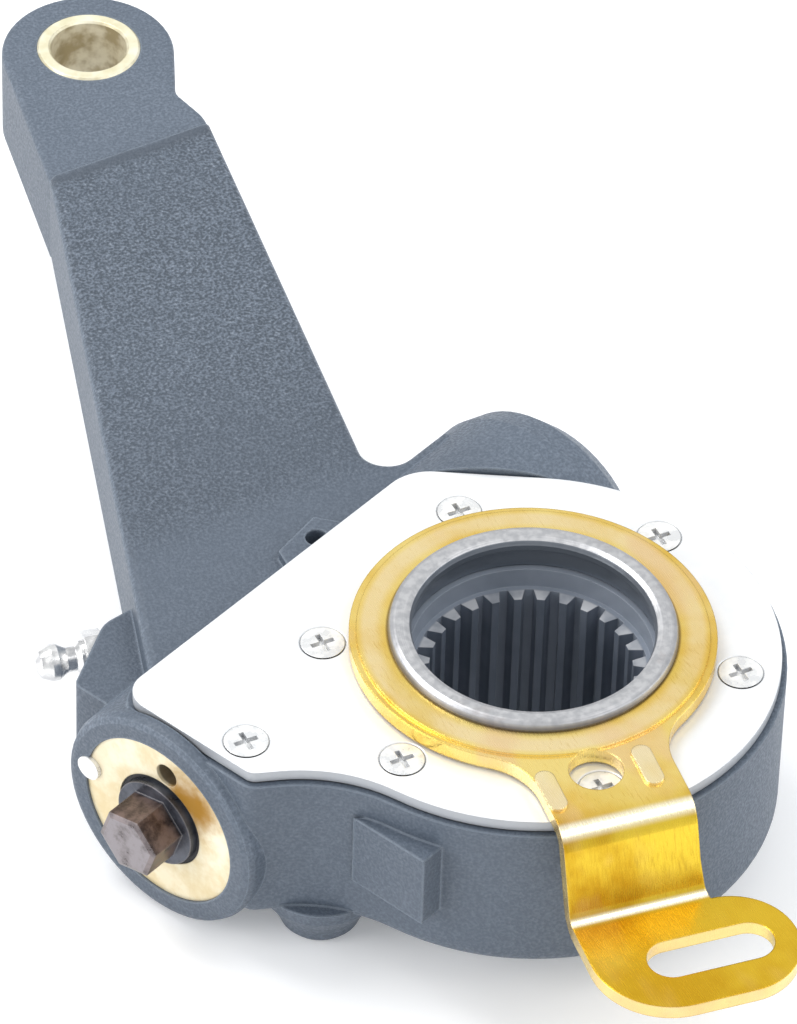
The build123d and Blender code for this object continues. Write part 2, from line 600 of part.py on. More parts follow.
with BuildPart() as housing:
    with BuildSketch(Plane.XY.offset(DRUM_FLOOR)):
        add(plate_face(DRUM_LIP))
    extrude(amount=SEAT_Z - DRUM_FLOOR)
    fillet(housing.edges().group_by(Axis.Z)[0], DRUM_FLOOR_FILLET)
    with BuildSketch():
        Circle(COLLAR_R)
    extrude(amount=DRUM_FLOOR + COLLAR_SINK)
    # Flared foot under the adjuster screw
    foot_centre = ADJUSTER + ADJUSTER_BOSS_SHIFT
    foot_height = DRUM_FLOOR + ADJUSTER_BOSS_SINK - ADJUSTER_BOSS_Z
    with BuildSketch(Plane(origin=foot_centre, x_dir=(1, 0, 0), z_dir=(0, -1, 0))):
        with BuildLine():
            Polyline(
                (0, ADJUSTER_BOSS_Z),
                *[
                    (ADJUSTER_BOSS_R + ADJUSTER_BOSS_FLARE * out, ADJUSTER_BOSS_Z + foot_height * up)
                    for out, up in ADJUSTER_BOSS_CURVE
                ],
                (0, ADJUSTER_BOSS_Z + foot_height),
                close=True,
            )
        make_face()
    revolve(axis=Axis(foot_centre, (0, 0, 1)))
    add(worm_boss.part)
    add(lever.part)
    add(eye.part)
    # Block beside the lever root that takes the grease nipple
    with BuildSketch(Plane.XY.offset(NIPPLE_BLOCK_BOTTOM)) as block_face:
        with BuildLine():
            Polyline(
                NIPPLE_BLOCK_INNER,
                NIPPLE_BLOCK_SIDE,
                worm_point(-NIPPLE_BLOCK_END, NIPPLE_BLOCK_N),
                worm_point(-NIPPLE_BLOCK_END, WORM_CENTRES + NIPPLE_BLOCK_FOOT),
                worm_point(-NIPPLE_BLOCK_START, WORM_CENTRES),
                close=True,
            )
        make_face()
        fillet(block_face.vertices().sort_by_distance(NIPPLE_BLOCK_SIDE)[0], NIPPLE_BLOCK_ROUND)
        block_corner = worm_point(-NIPPLE_BLOCK_END, NIPPLE_BLOCK_N)
        fillet(block_face.vertices().sort_by_distance(block_corner)[0], NIPPLE_BLOCK_EDGE)
    extrude(amount=NIPPLE_BLOCK_TOP - NIPPLE_BLOCK_BOTTOM)
    # Stop rib on the drum wall
    rib_out = Vector(cos(radians(RIB_ANGLE)), sin(radians(RIB_ANGLE)), 0)
    rib_along = rib_out.rotate(Axis.Z, 90)
    rib_tip = rib_out * RIB_REACH
    rib_end = rib_tip + rib_along * RIB_SLANT - rib_out * RIB_WIDTH
    rib_root = rib_out * (RIB_REACH - RIB_WIDTH - RIB_SINK)
    rib_start = rib_out * (PLATE_R + RIB_START_OUT) - rib_along * RIB_LENGTH
    with BuildSketch(Plane.XY.offset(RIB_BOTTOM)):
        with BuildLine():
            Polyline(rib_start, rib_tip, rib_end, rib_root, close=True)
        make_face()
    extrude(amount=RIB_TOP - RIB_BOTTOM)
    # Flat seat for the cover plate
    with BuildSketch(Plane.XY.offset(SEAT_Z)):
        add(plate_face(SEAT_MARGIN))
    extrude(amount=CUT_REACH, mode=Mode.SUBTRACT)
    # Lug with a small hole beside the plate
    lug_base = LOBE_SIDE + LUG_GAP
    with BuildSketch(Plane.XY.offset(LEVER_TOP - LUG_SINK)):
        with BuildLine():
            Polyline(
                worm_point(-LUG_FRONT - LUG_FRONT_SPREAD, lug_base),
                worm_point(-LUG_FRONT, LOBE_SIDE + LUG_REACH - LUG_FRONT_FALL),
                worm_point(LUG_REAR - LUG_REAR_CUT, LOBE_SIDE + LUG_REACH),
                worm_point(LUG_REAR, lug_base + LUG_REAR_RISE),
                worm_point(LUG_REAR, lug_base),
                close=True,
            )
        make_face()
    extrude(amount=LUG_TOP - LEVER_TOP + LUG_SINK)
    with BuildSketch(Plane.XY.offset(LUG_TOP)):
        with Locations(worm_point(-LUG_REAR, LOBE_SIDE + LUG_HOLE_OUT)):
            Circle(LUG_HOLE_R)
    extrude(amount=-LUG_HOLE_DEPTH, mode=Mode.SUBTRACT)
    # Room for the worm wheel, the reference gear and the pinion
    with BuildSketch(Plane.XY):
        Circle(JOURNAL_R + RUN_GAP)
    extrude(amount=SEAT_Z, mode=Mode.SUBTRACT)
    with BuildSketch(Plane.XY.offset(LOWER_SEAL_Z)):
        Circle(LOWER_SEAL_R)
    extrude(amount=LOWER_SEAL_T, mode=Mode.SUBTRACT)
    with BuildSketch(Plane.XY.offset(JOURNAL_TOP)):
        Circle(WHEEL_TIP_R + TIP_GAP)
    extrude(amount=SEAT_Z - JOURNAL_TOP, mode=Mode.SUBTRACT)
    with BuildSketch(Plane.XY.offset(GEAR_POCKET_FLOOR)):
        Circle(REFERENCE_TIP_R + REFERENCE_TIP_GAP)
        with Locations(ADJUSTER):
            Circle(PINION_TIP_R + TIP_GAP)
    extrude(amount=SEAT_Z - GEAR_POCKET_FLOOR, mode=Mode.SUBTRACT)
    with BuildSketch(Plane.XY.offset(SCREW_BORE_FLOOR)):
        with Locations(ADJUSTER):
            Circle(SCREW_TIP_R + TIP_GAP)
    extrude(amount=SEAT_Z - SCREW_BORE_FLOOR, mode=Mode.SUBTRACT)
    with BuildSketch(Plane.XY.offset(SCREW_FOOT_Z - FACE_GAP)):
        with Locations(ADJUSTER):
            Circle(SCREW_JOURNAL_R + RUN_GAP)
    extrude(amount=SCREW_BORE_FLOOR, mode=Mode.SUBTRACT)
    # Stepped bore for the worm shaft
    with BuildSketch(WORM_PLANE.offset(-BOSS_FRONT)):
        Circle(COVER_R)
    extrude(amount=COVER_RECESS + COVER_T, mode=Mode.SUBTRACT)
    with BuildSketch(WORM_PLANE.offset(-BOSS_FRONT)):
        Circle(FRONT_BORE_R)
    extrude(amount=BOSS_FRONT - FRONT_BORE_END, mode=Mode.SUBTRACT)
    with BuildSketch(WORM_PLANE.offset(-FRONT_BORE_END)):
        Circle(WORM_BORE_R)
    extrude(amount=FRONT_BORE_END + SPRING_POCKET_END, mode=Mode.SUBTRACT)
    with BuildSketch(WORM_PLANE.offset(-BOSS_FRONT - LOCK_PIN_HOLE_OUT)):
        with Locations(LOCK_PIN_PLACE):
            Circle(LOCK_PIN_R)
    extrude(amount=LOCK_PIN_HOLE_OUT + LOCK_PIN_LENGTH - LOCK_PIN_PROUD + FACE_GAP, mode=Mode.SUBTRACT)
    # Tapped holes, bush bore and nipple hole
    with BuildSketch(Plane.XY.offset(PLATE_TOP - SCREW_LENGTH_TOTAL - SCREW_END_GAP)):
        with Locations(*screw_places()):
            Circle(SCREW_R)
    extrude(amount=CUT_REACH, mode=Mode.SUBTRACT)
    with BuildSketch(Plane.XY):
        with Locations((0, LEVER_LENGTH)):
            Circle(BUSH_R)
    extrude(amount=CUT_REACH, mode=Mode.SUBTRACT)
    with BuildSketch(NIPPLE_PLANE):
        Circle(NIPPLE_SPOT_R)
    extrude(amount=CUT_REACH, mode=Mode.SUBTRACT)
    with BuildSketch(NIPPLE_PLANE):
        Circle(NIPPLE_STEM_R)
    extrude(amount=-NIPPLE_STEM_LENGTH - NIPPLE_END_GAP, mode=Mode.SUBTRACT)
    with BuildSketch(NIPPLE_PLANE):
        Circle(GREASE_HOLE_R)
    extrude(amount=-GREASE_HOLE_LENGTH, mode=Mode.SUBTRACT)
keep("housing", housing)

with BuildPart() as clevis_bush:
    with BuildSketch(Plane.XY.offset(EYE_BOTTOM - BUSH_PROUD)):
        with Locations((0, LEVER_LENGTH)):
            Circle(BUSH_R)
            Circle(BUSH_BORE_R, mode=Mode.SUBTRACT)
    extrude(amount=EYE_TOP - EYE_BOTTOM + 2 * BUSH_PROUD)
    chamfer(clevis_bush.edges().group_by(Axis.Z)[-1], BUSH_CHAMFER)
keep("clevis_bush", clevis_bush)

with BuildPart() as cover_gasket:
    with BuildSketch(Plane.XY.offset(SEAT_Z)):
        add(plate_face(-GASKET_INSET))
        Circle(REFERENCE_TIP_R + GASKET_GEAR_GAP, mode=Mode.SUBTRACT)
        with Locations(ADJUSTER):
            Circle(PINION_TIP_R + GASKET_PINION_GAP, mode=Mode.SUBTRACT)
        with Locations(*screw_places()):
            Circle(SCREW_R + SCREW_HOLE_GAP, mode=Mode.SUBTRACT)
    extrude(amount=GASKET_T)
keep("cover_gasket", cover_gasket)

with BuildPart() as cover_plate:
    with BuildSketch(Plane.XY.offset(PLATE_BOTTOM)):
        add(plate_face(0))
        Circle(PLATE_BORE_R, mode=Mode.SUBTRACT)
    extrude(amount=PLATE_T)
    with Locations(*[(x, y, PLATE_TOP) for x, y in screw_places()]):
        CounterSinkHole(SCREW_R + SCREW_HOLE_GAP, SCREW_HEAD_R + SCREW_HEAD_GAP, counter_sink_angle=90)
keep("cover_plate", cover_plate)

with BuildPart() as screw:
    with BuildSketch(Plane.XZ):
        with BuildLine():
            Polyline(
                (0, 0),
                (SCREW_HEAD_R, 0),
                (SCREW_R - PRESS_GAP, SCREW_R - PRESS_GAP - SCREW_HEAD_R),
                (SCREW_R - PRESS_GAP, -SCREW_LENGTH_TOTAL),
                (0, -SCREW_LENGTH_TOTAL),
                close=True,
            )
        make_face()
    revolve(axis=Axis.Z)
    with BuildSketch(Plane.XY):
        Rectangle(SCREW_CROSS, SCREW_CROSS_WIDTH)
        Rectangle(SCREW_CROSS_WIDTH, SCREW_CROSS)
    extrude(amount=-SCREW_CROSS_DEPTH, mode=Mode.SUBTRACT)

with BuildPart() as cover_screws:
    with Locations(*[(x, y, PLATE_TOP) for x, y in screw_places()]):
        add(screw.part)
keep("cover_screws", cover_screws)

# Worm wheel with the camshaft spline
WHEEL_BASE = WORM_Z - WHEEL_FACE / 2
WHEEL_TWIST = WHEEL_MODULE / 2 / WORM_PITCH_R / WHEEL_PITCH_R
with BuildPart() as worm_wheel:
    for side in (-1, 0, 1):
        height = side * WHEEL_FACE / 2
        with BuildSketch(Plane.XY.offset(WORM_Z + height)):
            with BuildLine():
                Polyline(
                    *gear_points(
                        WHEEL_TEETH,
                        WHEEL_MODULE,
                        WORM_PRESSURE,
                        pi * WHEEL_MODULE / 2 - WORM_BACKLASH,
                        WHEEL_ROOT_R,
                        WHEEL_TIP_R,
                        radians(WORM_ANGLE + 90) + WHEEL_TWIST * height + pi / WHEEL_TEETH,
                    ),
                    close=True,
                )
            make_face()
    loft(ruled=True)
    with BuildSketch(Plane.XZ):
        with BuildLine():
            Polyline(
                (0, WHEEL_BOTTOM),
                (JOURNAL_R, WHEEL_BOTTOM),
                (JOURNAL_R, JOURNAL_TOP),
                (WHEEL_ROOT_R, JOURNAL_TOP),
                (WHEEL_ROOT_R, GEAR_BOTTOM - FACE_GAP),
                (NECK_R, GEAR_BOTTOM - FACE_GAP),
                (NECK_R, NECK_TOP),
                (0, NECK_TOP),
                close=True,
            )
        make_face()
    revolve(axis=Axis.Z)
    with BuildSketch(Plane.XY):
        with BuildLine():
            Polyline(*spline_points(), close=True)
        make_face()
    extrude(amount=NECK_TOP, mode=Mode.SUBTRACT)
    with BuildSketch(Plane.XY.offset(SPLINE_TOP)):
        Circle(NECK_BORE_R)
    extrude(amount=NECK_TOP, mode=Mode.SUBTRACT)
keep("worm_wheel", worm_wheel)

with BuildPart() as wheel_thrust_washer:
    with BuildSketch(Plane.XY.offset(JOURNAL_TOP)):
        Circle(WHEEL_TIP_R)
        Circle(JOURNAL_R + 2 * RUN_GAP, mode=Mode.SUBTRACT)
    extrude(amount=WHEEL_BASE - JOURNAL_TOP - FACE_GAP)
keep("wheel_thrust_washer", wheel_thrust_washer)

with BuildPart() as lower_seal_ring:
    with BuildSketch(Plane.XY.offset(LOWER_SEAL_Z)):
        Circle(LOWER_SEAL_R)
        Circle(JOURNAL_R + RUN_GAP, mode=Mode.SUBTRACT)
    extrude(amount=LOWER_SEAL_T)
keep("lower_seal_ring", lower_seal_ring)

# Worm shaft, built upright and then laid on its axis
with BuildPart() as worm_blank:
    with BuildSketch(Plane.XZ):
        with BuildLine():
            Polyline(
                (0, -COLLAR_FRONT),
                (SHAFT_COLLAR_R, -COLLAR_FRONT),
                (SHAFT_COLLAR_R, -COVER_BACK - FACE_GAP),
                (SHAFT_R, -COVER_BACK - FACE_GAP),
                (SHAFT_R, -FLANGE_FRONT),
                (FLANGE_R, -FLANGE_FRONT),
                (FLANGE_R, -FLANGE_BACK),
                (WORM_ROOT_R, -FLANGE_BACK),
                (WORM_ROOT_R, REAR_BUSH_FRONT - REAR_BUSH_GAP),
                (SHAFT_R, REAR_BUSH_FRONT - REAR_BUSH_GAP),
                (SHAFT_R, SHAFT_END),
                (0, SHAFT_END),
                close=True,
            )
        make_face()
    revolve(axis=Axis.Z)
    with BuildSketch(Plane.XY.offset(-HEX_END)):
        RegularPolygon(HEX_ACROSS_FLATS / 2, 6, major_radius=False, rotation=HEX_TURN)
    extrude(amount=HEX_END - COLLAR_FRONT)
    chamfer(worm_blank.edges().group_by(Axis.Z)[0], HEX_CHAMFER / 2, HEX_CHAMFER)
    add(
        screw_thread(
            WORM_LEAD,
            1,
            WORM_ROOT_R,
            WORM_TIP_R,
            THREAD_WIDTH + 2 * (WORM_PITCH_R - WORM_ROOT_R) * tan(WORM_PRESSURE),
            THREAD_WIDTH - 2 * (WORM_TIP_R - WORM_PITCH_R) * tan(WORM_PRESSURE),
            -WORM_TURNS / 2 * WORM_LEAD,
            WORM_TURNS * WORM_LEAD,
            0,
        )
    )

with BuildPart() as worm_shaft:
    add(worm_blank.part.moved(WORM_PLANE.location))
keep("worm_shaft", worm_shaft)

# Clutch wheel, which turns the worm shaft and is turned by the adjuster screw
CLUTCH_TWIST = SCREW_LEAD / (2 * pi) / SCREW_PITCH_R / CLUTCH_PITCH_R
with BuildPart() as clutch_wheel:
    for side in (-1, 0, 1):
        shift = side * CLUTCH_FACE / 2
        with BuildSketch(WORM_PLANE.offset(ADJUSTER_S + shift)):
            with BuildLine():
                Polyline(
                    *gear_points(
                        CLUTCH_TEETH,
                        CLUTCH_MODULE,
                        WORM_PRESSURE,
                        pi * CLUTCH_MODULE / 2 - SCREW_BACKLASH,
                        CLUTCH_ROOT_R,
                        CLUTCH_TIP_R,
                        CLUTCH_TWIST * shift + pi / CLUTCH_TEETH,
                    ),
                    close=True,
                )
            make_face()
    loft(ruled=True)
    with BuildSketch(WORM_PLANE.offset(-RACE_BACK + FACE_GAP)):
        Circle(CLUTCH_HUB_R)
    extrude(amount=RACE_BACK - FACE_GAP + ADJUSTER_S)
    with BuildSketch(WORM_PLANE.offset(-RACE_BACK)):
        Circle(SHAFT_R + RUN_GAP)
    extrude(amount=RACE_BACK, mode=Mode.SUBTRACT)
keep("clutch_wheel", clutch_wheel)

# Thrust bearing between the end cover and the clutch wheel
with BuildPart() as thrust_race_front:
    with BuildSketch(WORM_PLANE.offset(-COVER_BACK + FACE_GAP)):
        Circle(FRONT_BORE_R - RACE_FIT_GAP)
        Circle(SHAFT_R + RACE_FREE_GAP, mode=Mode.SUBTRACT)
    extrude(amount=RACE_T)
keep("thrust_race_front", thrust_race_front)

with BuildPart() as thrust_race_rear:
    with BuildSketch(WORM_PLANE.offset(-RACE_BACK - RACE_T)):
        Circle(FRONT_BORE_R - RACE_FREE_GAP)
        Circle(SHAFT_R + RACE_FIT_GAP, mode=Mode.SUBTRACT)
    extrude(amount=RACE_T)
keep("thrust_race_rear", thrust_race_rear)

with BuildPart() as thrust_rollers:
    for index in range(ROLLERS):
        turn = 2 * pi * index / ROLLERS
        across = WORM_PLANE.x_dir * cos(turn) + WORM_PLANE.y_dir * sin(turn)
        start = WORM_PLANE.origin - WORM_DIR * ROLLER_S + across * (FRONT_BORE_R - ROLLER_INSET)
        with BuildSketch(Plane(origin=start, x_dir=WORM_DIR, z_dir=across)):
            Circle(ROLLER_R)
        extrude(amount=ROLLER_LENGTH)
keep("thrust_rollers", thrust_rollers)

# End cover with its shaft seal and lock pin
with BuildPart() as worm_end_cover:
    with BuildSketch(WORM_PLANE.offset(-COVER_BACK - COVER_T)):
        Circle(COVER_R - PRESS_GAP)
        Circle(SHAFT_SEAL_R, mode=Mode.SUBTRACT)
    extrude(amount=COVER_T)
    with BuildSketch(WORM_PLANE.offset(-COVER_BACK - SHAFT_SEAL_LIP)):
        Circle(SHAFT_SEAL_R)
        Circle(SHAFT_COLLAR_R + RUN_GAP, mode=Mode.SUBTRACT)
    extrude(amount=SHAFT_SEAL_LIP)
    with BuildSketch(WORM_PLANE.offset(LOCK_PIN_FRONT)):
        with Locations(LOCK_PIN_PLACE):
            Circle(LOCK_PIN_R)
    extrude(amount=LOCK_PIN_LENGTH, mode=Mode.SUBTRACT)
    with BuildSketch(WORM_PLANE.offset(-COVER_BACK - COVER_T)):
        with Locations(COVER_KEY_HOLE_PLACE):
            Circle(COVER_KEY_HOLE_R)
    extrude(amount=COVER_KEY_HOLE_DEPTH, mode=Mode.SUBTRACT)
keep("worm_end_cover", worm_end_cover)

with BuildPart() as worm_shaft_seal:
    with BuildSketch(WORM_PLANE.offset(-COVER_BACK - COVER_T + SHAFT_SEAL_INSET)):
        Circle(SHAFT_SEAL_R)
        Circle(SHAFT_COLLAR_R + RUN_GAP, mode=Mode.SUBTRACT)
    extrude(amount=COVER_T - SHAFT_SEAL_LIP - SHAFT_SEAL_INSET)
keep("worm_shaft_seal", worm_shaft_seal)

with BuildPart() as end_cover_lock_pin:
    with BuildSketch(WORM_PLANE.offset(LOCK_PIN_FRONT)):
        with Locations(LOCK_PIN_PLACE):
            Circle(LOCK_PIN_R - PRESS_GAP)
    extrude(amount=LOCK_PIN_LENGTH - FACE_GAP)
keep("end_cover_lock_pin", end_cover_lock_pin)

# Rear bush, spring seat and power spring behind the worm
with BuildPart() as rear_bush:
    with BuildSketch(WORM_PLANE.offset(REAR_BUSH_FRONT)):
        Circle(WORM_BORE_R - PRESS_GAP)
        Circle(SHAFT_R + RUN_GAP, mode=Mode.SUBTRACT)
    extrude(amount=REAR_BUSH_LENGTH)
keep("rear_bush", rear_bush)

with BuildPart() as spring_seat:
    with BuildSketch(WORM_PLANE.offset(SHAFT_END + FACE_GAP)):
        Circle(WORM_BORE_R - SPRING_SEAT_GAP)
    extrude(amount=SPRING_SEAT_T)
keep("spring_seat", spring_seat)

with BuildPart() as power_spring:
    add(
        coil(
            SPRING_POCKET_END - SPRING_START - FACE_GAP,
            SPRING_TURNS,
            WORM_BORE_R - SPRING_SIDE_GAP - SPRING_WIRE,
            SPRING_WIRE,
            SPRING_WIRE,
        ).moved((WORM_PLANE.offset(SPRING_START)).location)
    )
keep("power_spring", power_spring)

# Adjuster screw, its washer, the pinion and the one-way clutch spring between them
with BuildPart() as adjuster_screw:
    with BuildSketch(Plane(origin=ADJUSTER, x_dir=(1, 0, 0), z_dir=(0, -1, 0))):
        with BuildLine():
            Polyline(
                (0, SCREW_FOOT_Z),
                (SCREW_JOURNAL_R, SCREW_FOOT_Z),
                (SCREW_JOURNAL_R, SCREW_BODY_BOTTOM),
                (SCREW_ROOT_R, SCREW_BODY_BOTTOM),
                (SCREW_ROOT_R, GEAR_BOTTOM - FACE_GAP),
                (SCREW_NOSE_R, GEAR_BOTTOM - FACE_GAP),
                (SCREW_NOSE_R, GEAR_TOP),
                (0, GEAR_TOP),
                close=True,
            )
        make_face()
    revolve(axis=Axis(ADJUSTER, (0, 0, 1)))
    add(
        screw_thread(
            SCREW_LEAD,
            SCREW_STARTS,
            SCREW_ROOT_R,
            SCREW_TIP_R,
            SCREW_WIDTH + 2 * (SCREW_PITCH_R - SCREW_ROOT_R) * tan(WORM_PRESSURE),
            SCREW_WIDTH - 2 * (SCREW_TIP_R - SCREW_PITCH_R) * tan(WORM_PRESSURE),
            WORM_Z - SCREW_LENGTH / 2,
            SCREW_LENGTH,
            WORM_ANGLE + 90 - 360 * SCREW_LENGTH / 2 / SCREW_LEAD,
        ).moved(Location(ADJUSTER))
    )
keep("adjuster_screw", adjuster_screw)

with BuildPart() as adjuster_washer:
    with BuildSketch(Plane.XY.offset(SCREW_BORE_FLOOR)):
        with Locations(ADJUSTER):
            Circle(SCREW_TIP_R)
            Circle(SCREW_JOURNAL_R + ADJUSTER_WASHER_GAP, mode=Mode.SUBTRACT)
    extrude(amount=SCREW_BODY_BOTTOM - SCREW_BORE_FLOOR - FACE_GAP)
keep("adjuster_washer", adjuster_washer)

with BuildPart() as pinion:
    with BuildSketch(Plane(origin=ADJUSTER + Vector(0, 0, GEAR_BOTTOM))):
        with BuildLine():
            Polyline(
                *gear_points(
                    PINION_TEETH,
                    GEAR_MODULE,
                    GEAR_PRESSURE,
                    pi * GEAR_MODULE / 2 - GEAR_BACKLASH,
                    PINION_ROOT_R,
                    PINION_TIP_R,
                    radians(ADJUSTER_ANGLE + 180),
                ),
                close=True,
            )
        make_face()
        Circle(SCREW_NOSE_R + RUN_GAP, mode=Mode.SUBTRACT)
    extrude(amount=GEAR_TOP - GEAR_BOTTOM)
    with BuildSketch(Plane(origin=ADJUSTER + Vector(0, 0, GEAR_BOTTOM + PINION_WEB))):
        Circle(CLUTCH_SPRING_R + RUN_GAP)
    extrude(amount=GEAR_TOP, mode=Mode.SUBTRACT)
keep("pinion", pinion)

clutch_spring_bore = (SCREW_NOSE_R + FACE_GAP) / cos(pi / COIL_STEPS)
with BuildPart() as one_way_clutch_spring:
    add(
        coil(
            GEAR_TOP - GEAR_BOTTOM - PINION_WEB - 2 * FACE_GAP,
            CLUTCH_SPRING_TURNS,
            clutch_spring_bore,
            CLUTCH_SPRING_R - clutch_spring_bore,
            CLUTCH_SPRING_WIRE,
        ).moved(Location(ADJUSTER + Vector(0, 0, GEAR_BOTTOM + PINION_WEB + FACE_GAP)))
    )
keep("one_way_clutch_spring", one_way_clutch_spring)

# Reference gear, sleeve and control arm
with BuildPart() as reference_gear:
    with BuildSketch(Plane.XY.offset(GEAR_BOTTOM)):
        with BuildLine():
            Polyline(
                *gear_points(
                    REFERENCE_TEETH,
                    GEAR_MODULE,
                    GEAR_PRESSURE,
                    pi * GEAR_MODULE / 2 - GEAR_BACKLASH,
                    REFERENCE_PITCH_R - GEAR_ADDENDUM - ROOT_CLEARANCE,
                    REFERENCE_TIP_R,
                    radians(ADJUSTER_ANGLE) + pi / REFERENCE_TEETH,
                ),
                close=True,
            )
        make_face()
        Circle(SLEEVE_R + PRESS_GAP, mode=Mode.SUBTRACT)
    extrude(amount=GEAR_TOP - GEAR_BOTTOM)
keep("reference_gear", reference_gear)

sleeve_inset = ROUND_INSET * SLEEVE_ROUND
with BuildPart() as arm_sleeve:
    with BuildSketch(Plane.XZ):
        with BuildLine():
            Polyline(
                (SLEEVE_BORE_R, GEAR_BOTTOM),
                (SLEEVE_R, GEAR_BOTTOM),
                (SLEEVE_R, ARM_BOTTOM + ARM_T + ANNULUS_RISE),
                (SLEEVE_LIP_R, ARM_BOTTOM + ARM_T + ANNULUS_RISE),
                (SLEEVE_LIP_R, SLEEVE_TOP - SLEEVE_ROUND),
                (SLEEVE_LIP_R - sleeve_inset, SLEEVE_TOP - sleeve_inset),
                (SLEEVE_LIP_R - SLEEVE_ROUND, SLEEVE_TOP),
                (SLEEVE_MOUTH_R + SLEEVE_ROUND, SLEEVE_TOP),
                (SLEEVE_MOUTH_R + sleeve_inset, SLEEVE_TOP - sleeve_inset),
                (SLEEVE_MOUTH_R, SLEEVE_TOP - SLEEVE_ROUND),
                (SLEEVE_MOUTH_R, SLEEVE_TOP - SLEEVE_LIP_DEPTH),
                (SLEEVE_MOUTH_R + SLEEVE_UNDERCUT, SLEEVE_TOP - SLEEVE_LIP_DEPTH),
                (SLEEVE_MOUTH_R + SLEEVE_UNDERCUT, NECK_TOP + NECK_END_GAP),
                (SLEEVE_BORE_R, NECK_TOP + NECK_END_GAP),
                close=True,
            )
        make_face()
    revolve(axis=Axis.Z)
keep("arm_sleeve", arm_sleeve)

with BuildPart() as arm_seal_ring:
    with BuildSketch(Plane.XY.offset(PLATE_BOTTOM)):
        Circle(PLATE_BORE_R - PRESS_GAP)
        Circle(SLEEVE_R + RUN_GAP, mode=Mode.SUBTRACT)
    extrude(amount=PLATE_T)
keep("arm_seal_ring", arm_seal_ring)

ARM_TOP = ARM_BOTTOM + ARM_T
drop_angle = atan2(ARM_TOP - ARM_FOOT_TOP, ARM_ANKLE_U - ARM_KNEE_U)
bend_shift = ARM_T * tan(drop_angle / 2)
with BuildPart() as control_arm:
    with BuildSketch(Plane(origin=(0, 0, 0), x_dir=ARM_DIR, z_dir=-ARM_SIDE)):
        with BuildLine():
            FilletPolyline(
                (ARM_STRIP_START, ARM_TOP),
                (ARM_KNEE_U, ARM_TOP),
                (ARM_ANKLE_U, ARM_FOOT_TOP),
                (ARM_STRIP_END, ARM_FOOT_TOP),
                radius=[ARM_BEND_R + ARM_T, ARM_BEND_R],
            )
            Line((ARM_STRIP_END, ARM_FOOT_TOP), (ARM_STRIP_END, ARM_FOOT_TOP - ARM_T))
            FilletPolyline(
                (ARM_STRIP_END, ARM_FOOT_TOP - ARM_T),
                (ARM_ANKLE_U - bend_shift, ARM_FOOT_TOP - ARM_T),
                (ARM_KNEE_U - bend_shift, ARM_BOTTOM),
                (ARM_STRIP_START, ARM_BOTTOM),
                radius=[ARM_BEND_R + ARM_T, ARM_BEND_R],
            )
            Line((ARM_STRIP_START, ARM_BOTTOM), (ARM_STRIP_START, ARM_TOP))
        make_face()
    extrude(amount=ARM_STRIP_HALF_WIDTH, both=True)
    with BuildSketch(Plane.XY.offset(ARM_FOOT_TOP - ARM_CUT_SINK)) as arm_plan:
        with BuildLine():
            Polyline(
                arm_point(0, -ARM_HALF_WIDTH),
                arm_point(FOOT_END_U - FOOT_HEEL_R, -ARM_HALF_WIDTH),
                arm_point(FOOT_END_U, FOOT_HEEL_R - ARM_HALF_WIDTH),
                arm_point(FOOT_END_U, FOOT_TIP_V),
                arm_point(FOOT_END_U - 2 * FOOT_TIP_R, FOOT_TIP_V),
                arm_point(ARM_ANKLE_U - FOOT_FLARE, ARM_HALF_WIDTH),
                arm_point(0, ARM_HALF_WIDTH),
                close=True,
            )
        make_face()
        Circle(ARM_RING_R)
        for v in (-ARM_HALF_WIDTH, ARM_HALF_WIDTH):
            u = sqrt(ARM_RING_R**2 - v**2)
            fillet(arm_plan.vertices().sort_by_distance(arm_point(u, v))[0], ARM_NECK_ROUND)
        with Locations(arm_point(FOOT_END_U - FOOT_HEEL_R, FOOT_HEEL_R - ARM_HALF_WIDTH)):
            Circle(FOOT_HEEL_R)
        with Locations(arm_point(FOOT_END_U - FOOT_TIP_R, FOOT_TIP_V)):
            Circle(FOOT_TIP_R)
    extrude(amount=CUT_REACH, mode=Mode.INTERSECT)
    with BuildSketch(Plane.XY.offset(ARM_TOP)):
        Circle(ANNULUS_R)
        for u, v in ARM_PAD_PLACES:
            with Locations(Location(Vector(*arm_point(u, v)), ARM_ANGLE)):
                SlotCenterToCenter(ARM_PAD_LENGTH, ARM_PAD_WIDTH)
    extrude(amount=ANNULUS_RISE)
    with BuildSketch(Plane.XY.offset(ARM_FOOT_TOP - ARM_CUT_SINK)):
        Circle(SLEEVE_R + PRESS_GAP)
        with Locations(arm_point(*ARM_HOLE_PLACE)):
            Circle(ARM_HOLE_R)
        with Locations(Location(Vector(*arm_point(SLOT_U, SLOT_V)), ARM_ANGLE + 90)):
            SlotOverall(SLOT_LENGTH, SLOT_WIDTH)
    extrude(amount=CUT_REACH, mode=Mode.SUBTRACT)
keep("control_arm", control_arm)

# Grease nipple, built upright and then turned into its seat
with BuildPart() as nipple_blank:
    with BuildSketch(Plane.XZ):
        with BuildLine():
            Polyline(
                (0, -NIPPLE_STEM_LENGTH),
                (NIPPLE_STEM_R - PRESS_GAP, -NIPPLE_STEM_LENGTH),
                (NIPPLE_STEM_R - PRESS_GAP, RUN_GAP),
                (NIPPLE_PROFILE[0][0], RUN_GAP),
                *NIPPLE_PROFILE,
                (0, NIPPLE_PROFILE[-1][1]),
                close=True,
            )
        make_face()
    revolve(axis=Axis.Z)
    with BuildSketch(Plane.XY.offset(RUN_GAP)):
        RegularPolygon(NIPPLE_HEX_ACROSS_FLATS / 2, 6, major_radius=False)
    extrude(amount=NIPPLE_HEX_HEIGHT)

with BuildPart() as grease_nipple:
    add(nipple_blank.part.moved(NIPPLE_PLANE.location))
keep("grease_nipple", grease_nipple)
